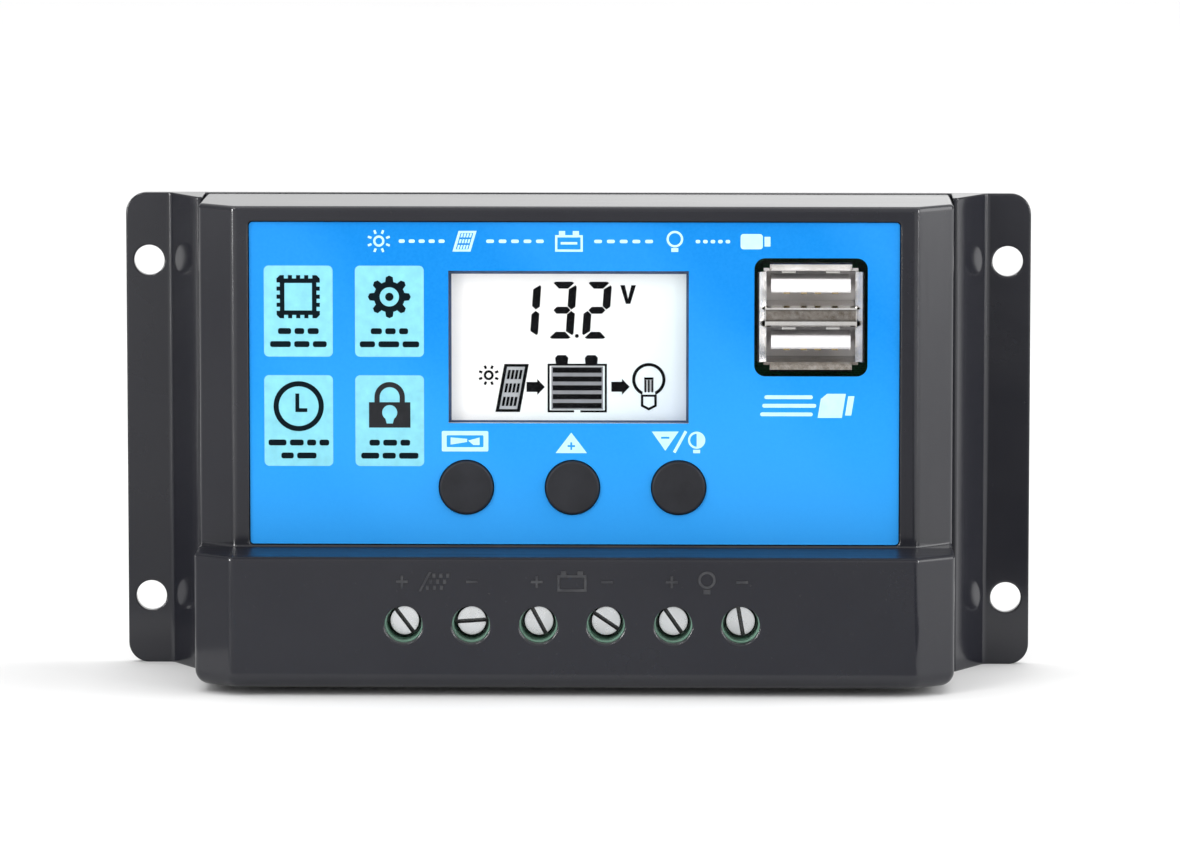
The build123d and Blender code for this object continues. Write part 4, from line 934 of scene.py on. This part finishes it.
# The display's opening in the label: left, right, bottom and top.
DISPLAY_OPENING = (-18.37, 16.43, 3.35, 25.55)
SEGMENT_RISE, SEGMENT_THICKNESS = 0.02, 0.05
FILL_THICKNESS, SHADOW_LINE_THICKNESS = 0.018, 0.02


def display_shadow_line():
    """A thin painted shadow just inside the label's opening, deeper along its top."""
    left, right, bottom, top = DISPLAY_OPENING
    outer = rectangle(left - 0.3, bottom - 0.1, right + 0.3, top + 0.3)
    inner = rectangle(left + 0.38, bottom + 0.24, right - 0.38, top - 0.62)
    return [[outer, inner]]


def show_display():
    """The display's segments over its pale fills, and the painted shadow line round its edge."""
    low = POLARISER_TOP
    foot, fill_top = low + SEGMENT_RISE, low + FILL_THICKNESS
    ink = print_ink("segment_black", (0.0018, 0.002, 0.0026), 0.2)
    grey = print_ink("segment_grey", (0.30, 0.31, 0.33))
    pale = print_ink("segment_pale", (0.46, 0.48, 0.50))
    # Ink of the painted shadow round the display.
    edge = print_ink("edge_shadow_ink", (0.10, 0.15, 0.26), 0.12)
    readout = display_readout()
    drawing("display_segments", readout, foot, foot + SEGMENT_THICKNESS, ink)
    half_charge, charge_foot, charge_top = 3.75, BATTERY_FOOT + 0.4, BATTERY_FOOT + 6.7
    charge = rectangle(BATTERY_X - half_charge, charge_foot, BATTERY_X + half_charge, charge_top)
    drawing("display_battery_fill", [[charge]], low, fill_top, grey)
    panel = moved(rectangle(-1.5, -3.2, 1.5, 3.2), PANEL_X, PANEL_Z, 0.18)
    filament = rectangle(LAMP_X - 0.69, LAMP_Z - 1.75, LAMP_X + 0.71, LAMP_Z - 0.05)
    drawing("display_pale_fills", [[panel], [filament]], low, fill_top, pale)
    # Painted shadow: a thin dark line round the display where the opening's edge shades it.
    border = display_shadow_line()
    drawing("display_shadow_line", border, low, low + SHADOW_LINE_THICKNESS, edge)


# ---- Camera, light and floor --------------------------------------------------------------

# The lens in millimetres, and the camera's place by its distance and its angles in degrees.
SENSOR_WIDTH = 36.0
FOCAL_LENGTH = 219.3254
CAMERA_DISTANCE = 1.0653
CAMERA_AZIMUTH = 1.01
CAMERA_ELEVATION = 6.75
AIM = Vector((0.00173, 0, 0.00017))


def facing(direction):
    """The turn that points a camera or a light along a direction."""
    return direction.to_track_quat("-Z", "Y").to_euler()


def place_camera():
    """A long lens from the front, slightly above and to the right, fitted to the photo."""
    a, e = math.radians(CAMERA_AZIMUTH), math.radians(CAMERA_ELEVATION)
    out = Vector((math.sin(a) * math.cos(e), -math.cos(a) * math.cos(e), math.sin(e)))
    data = bpy.data.cameras.new("camera")
    data.sensor_width = SENSOR_WIDTH
    data.lens = FOCAL_LENGTH
    data.clip_start = 0.01
    data.clip_end = 50
    camera = bpy.data.objects.new("camera", data)
    bpy.context.scene.collection.objects.link(camera)
    camera.location = AIM + out * CAMERA_DISTANCE
    camera.rotation_euler = facing(-out)
    bpy.context.scene.camera = camera


# Grey levels of the surroundings, as (share of the direction along an axis, level) stops.
ROOM_UP = [(0.0, 0.98), (0.4, 0.88), (0.7, 1.15), (0.95, 1.25)]
ROOM_ACROSS = [(-1.0, 0.62), (-0.6, 0.95), (0.6, 1.0), (1.0, 1.0)]
SWEEP_ACROSS = [(-0.8, 0.35), (-0.42, 0.5), (-0.25, 0.8), (-0.06, 0.95), (0.04, 1.2),
                (0.28, 1.25), (0.45, 0.5), (0.8, 0.35)]
SWEEP_BEHIND = [(0.05, 0.0), (0.3, 1.0)]
SWEEP_FADE_UP = [(0.35, 0.0), (0.8, 1.0)]

# Each light's name, place, size and power.
SOFT_BOXES = [
    ("soft_box_left", (-0.85, -0.8, 0.2), (0.14, 0.8), 3.8),
    ("soft_box_right", (0.85, -0.8, 0.2), (0.1, 0.8), 1.8),
    ("soft_box_side", (1.1, -0.1, 0.25), (0.9, 0.9), 9.2),
    ("key_high_left", (-0.5, -0.75, 0.85), (0.22, 0.22), 2.2),
    ("overhead", (0.0, 0.14, 1.0), (1.6, 0.3), 3.5),
]
EDGE_STRIPS = [
    ("strip_left", (-0.9, -0.75, 0.1), (0.12, 0.9), 18.0),
    ("strip_right", (0.9, -0.75, 0.1), (0.12, 0.9), 9.0),
]


def light_room():
    """The surroundings: a bright sweep low behind the case, and a dimmer room elsewhere."""
    world = bpy.data.worlds.new("studio")
    bpy.context.scene.world = world
    world.use_nodes = True
    n = Nodes(world.node_tree, "Generated")

    def levels(axis, stops):
        greys = [((place + 1) / 2, (value,) * 3) for place, value in stops]
        return n.ramp(n.ranged(n.along(axis), -1.0, 1.0), greys)

    room = n.mixed(1.0, levels("Z", ROOM_UP), levels("X", ROOM_ACROSS), mode="MULTIPLY")
    sweep = n.mixed(levels("Z", SWEEP_FADE_UP), levels("X", SWEEP_ACROSS), room)
    colour = n.mixed(levels("Y", SWEEP_BEHIND), room, sweep)
    n.join(colour, n.tree.nodes["Background"].inputs["Color"])


def area_light(name, place, size, power):
    """A flat light that faces the part."""
    data = bpy.data.lights.new(name, "AREA")
    data.shape = "RECTANGLE"
    data.size, data.size_y = size
    data.energy = power
    light = bpy.data.objects.new(name, data)
    bpy.context.scene.collection.objects.link(light)
    light.location = place
    light.rotation_euler = facing(-Vector(place))
    return light


def place_lights():
    """Five soft boxes, and two strips that only glossy reflections see."""
    for name, place, size, power in SOFT_BOXES:
        area_light(name, place, size, power)
    for name, place, size, power in EDGE_STRIPS:
        area_light(name, place, size, power).visible_diffuse = False


SHEET_STEPS = 8
PAPER_WEAR = 0.02


def flat_sheet(name, low, high, z, colour, fades, axis="X"):
    """A level sheet of paper between two x, y corners. Its colour is multiplied by fades, which
    are (place, factor) stops from its low edge to its high edge along an axis."""
    row = SHEET_STEPS + 1
    spans = [[a + (b - a) * i / SHEET_STEPS for i in range(row)] for a, b in zip(low, high)]
    verts = [(x, y, z) for y in spans[1] for x in spans[0]]
    corners = [j * row + i for j in range(SHEET_STEPS) for i in range(SHEET_STEPS)]
    mesh = bpy.data.meshes.new(name)
    mesh.from_pydata(verts, [], [(c, c + 1, c + row + 1, c + row) for c in corners])
    n = Surface(name)
    mottled = n.ramp(n.noise(6, 3), [(0.3, (1 - PAPER_WEAR,) * 3), (0.7, WHITE)])
    side = "XY".index(axis)
    across = n.ranged(n.along(axis), low[side], high[side])
    tone = n.ramp(across, [(place, shade(colour, factor)) for place, factor in fades])
    tone = n.mixed(1.0, tone, mottled, mode="MULTIPLY")
    rough = n.spread(n.noise(40, 2), 0.75, 0.9)
    mesh.materials.append(n.wear(tone, rough, n.bump(n.noise(700, 2), 0.00002)))
    sheet = bpy.data.objects.new(name, mesh)
    bpy.context.scene.collection.objects.link(sheet)
    return sheet


# The floor's tone along Y: a little darker in front of the part and under it, as painted
# shade that deepens its shadow there, and full well behind it.
FLOOR_REACH = 4.0
FLOOR_WHITE = (0.95, 0.95, 0.95)
FLOOR_SHADE_FADES = [(0.51, 0.83), (0.66, 1.0)]

# Each card's name, two corners, height over the floor, grey, and factor at its right edge.
CARDS = [
    ("card_front", (-0.12, -1.6), (0.0605, -0.045), 0.001, (0.58, 0.58, 0.59), 0.58),
    ("card_right", (0.0605, -1.3), (0.1, -0.06), 0.002, (0.075, 0.075, 0.078), 1.0),
    ("card_left", (-0.8, -0.12), (-0.075, 0.1), 0.003, (0.38, 0.38, 0.39), 1.0),
]


def build_floor():
    """A pale floor, and three grey cards on it that only glossy reflections see."""
    near, far = (-FLOOR_REACH, -FLOOR_REACH), (FLOOR_REACH, FLOOR_REACH)
    flat_sheet("floor", near, far, FLOOR_Z, FLOOR_WHITE, FLOOR_SHADE_FADES, "Y")
    for name, low, high, lift, colour, end in CARDS:
        card = flat_sheet(name, low, high, FLOOR_Z + lift, colour, [(0.0, 1.0), (1.0, end)])
        card.visible_camera = False
        card.visible_diffuse = False
        card.visible_shadow = False


# ---- CAD nodes ----------------------------------------------------------------------------


def dress_nodes():
    """Gives every CAD node the material of its slot."""
    materials = slot_materials()
    slots = {part["node"]: part["material_slot"] for part in frame["record"]["subparts"]}
    for name, node in frame["nodes"].items():
        node.data.materials.clear()
        node.data.materials.append(materials[slots[name]])


place_camera()
light_room()
place_lights()
build_floor()
dress_nodes()
print_label()
show_display()
bpy.context.scene.view_settings.view_transform = "Standard"
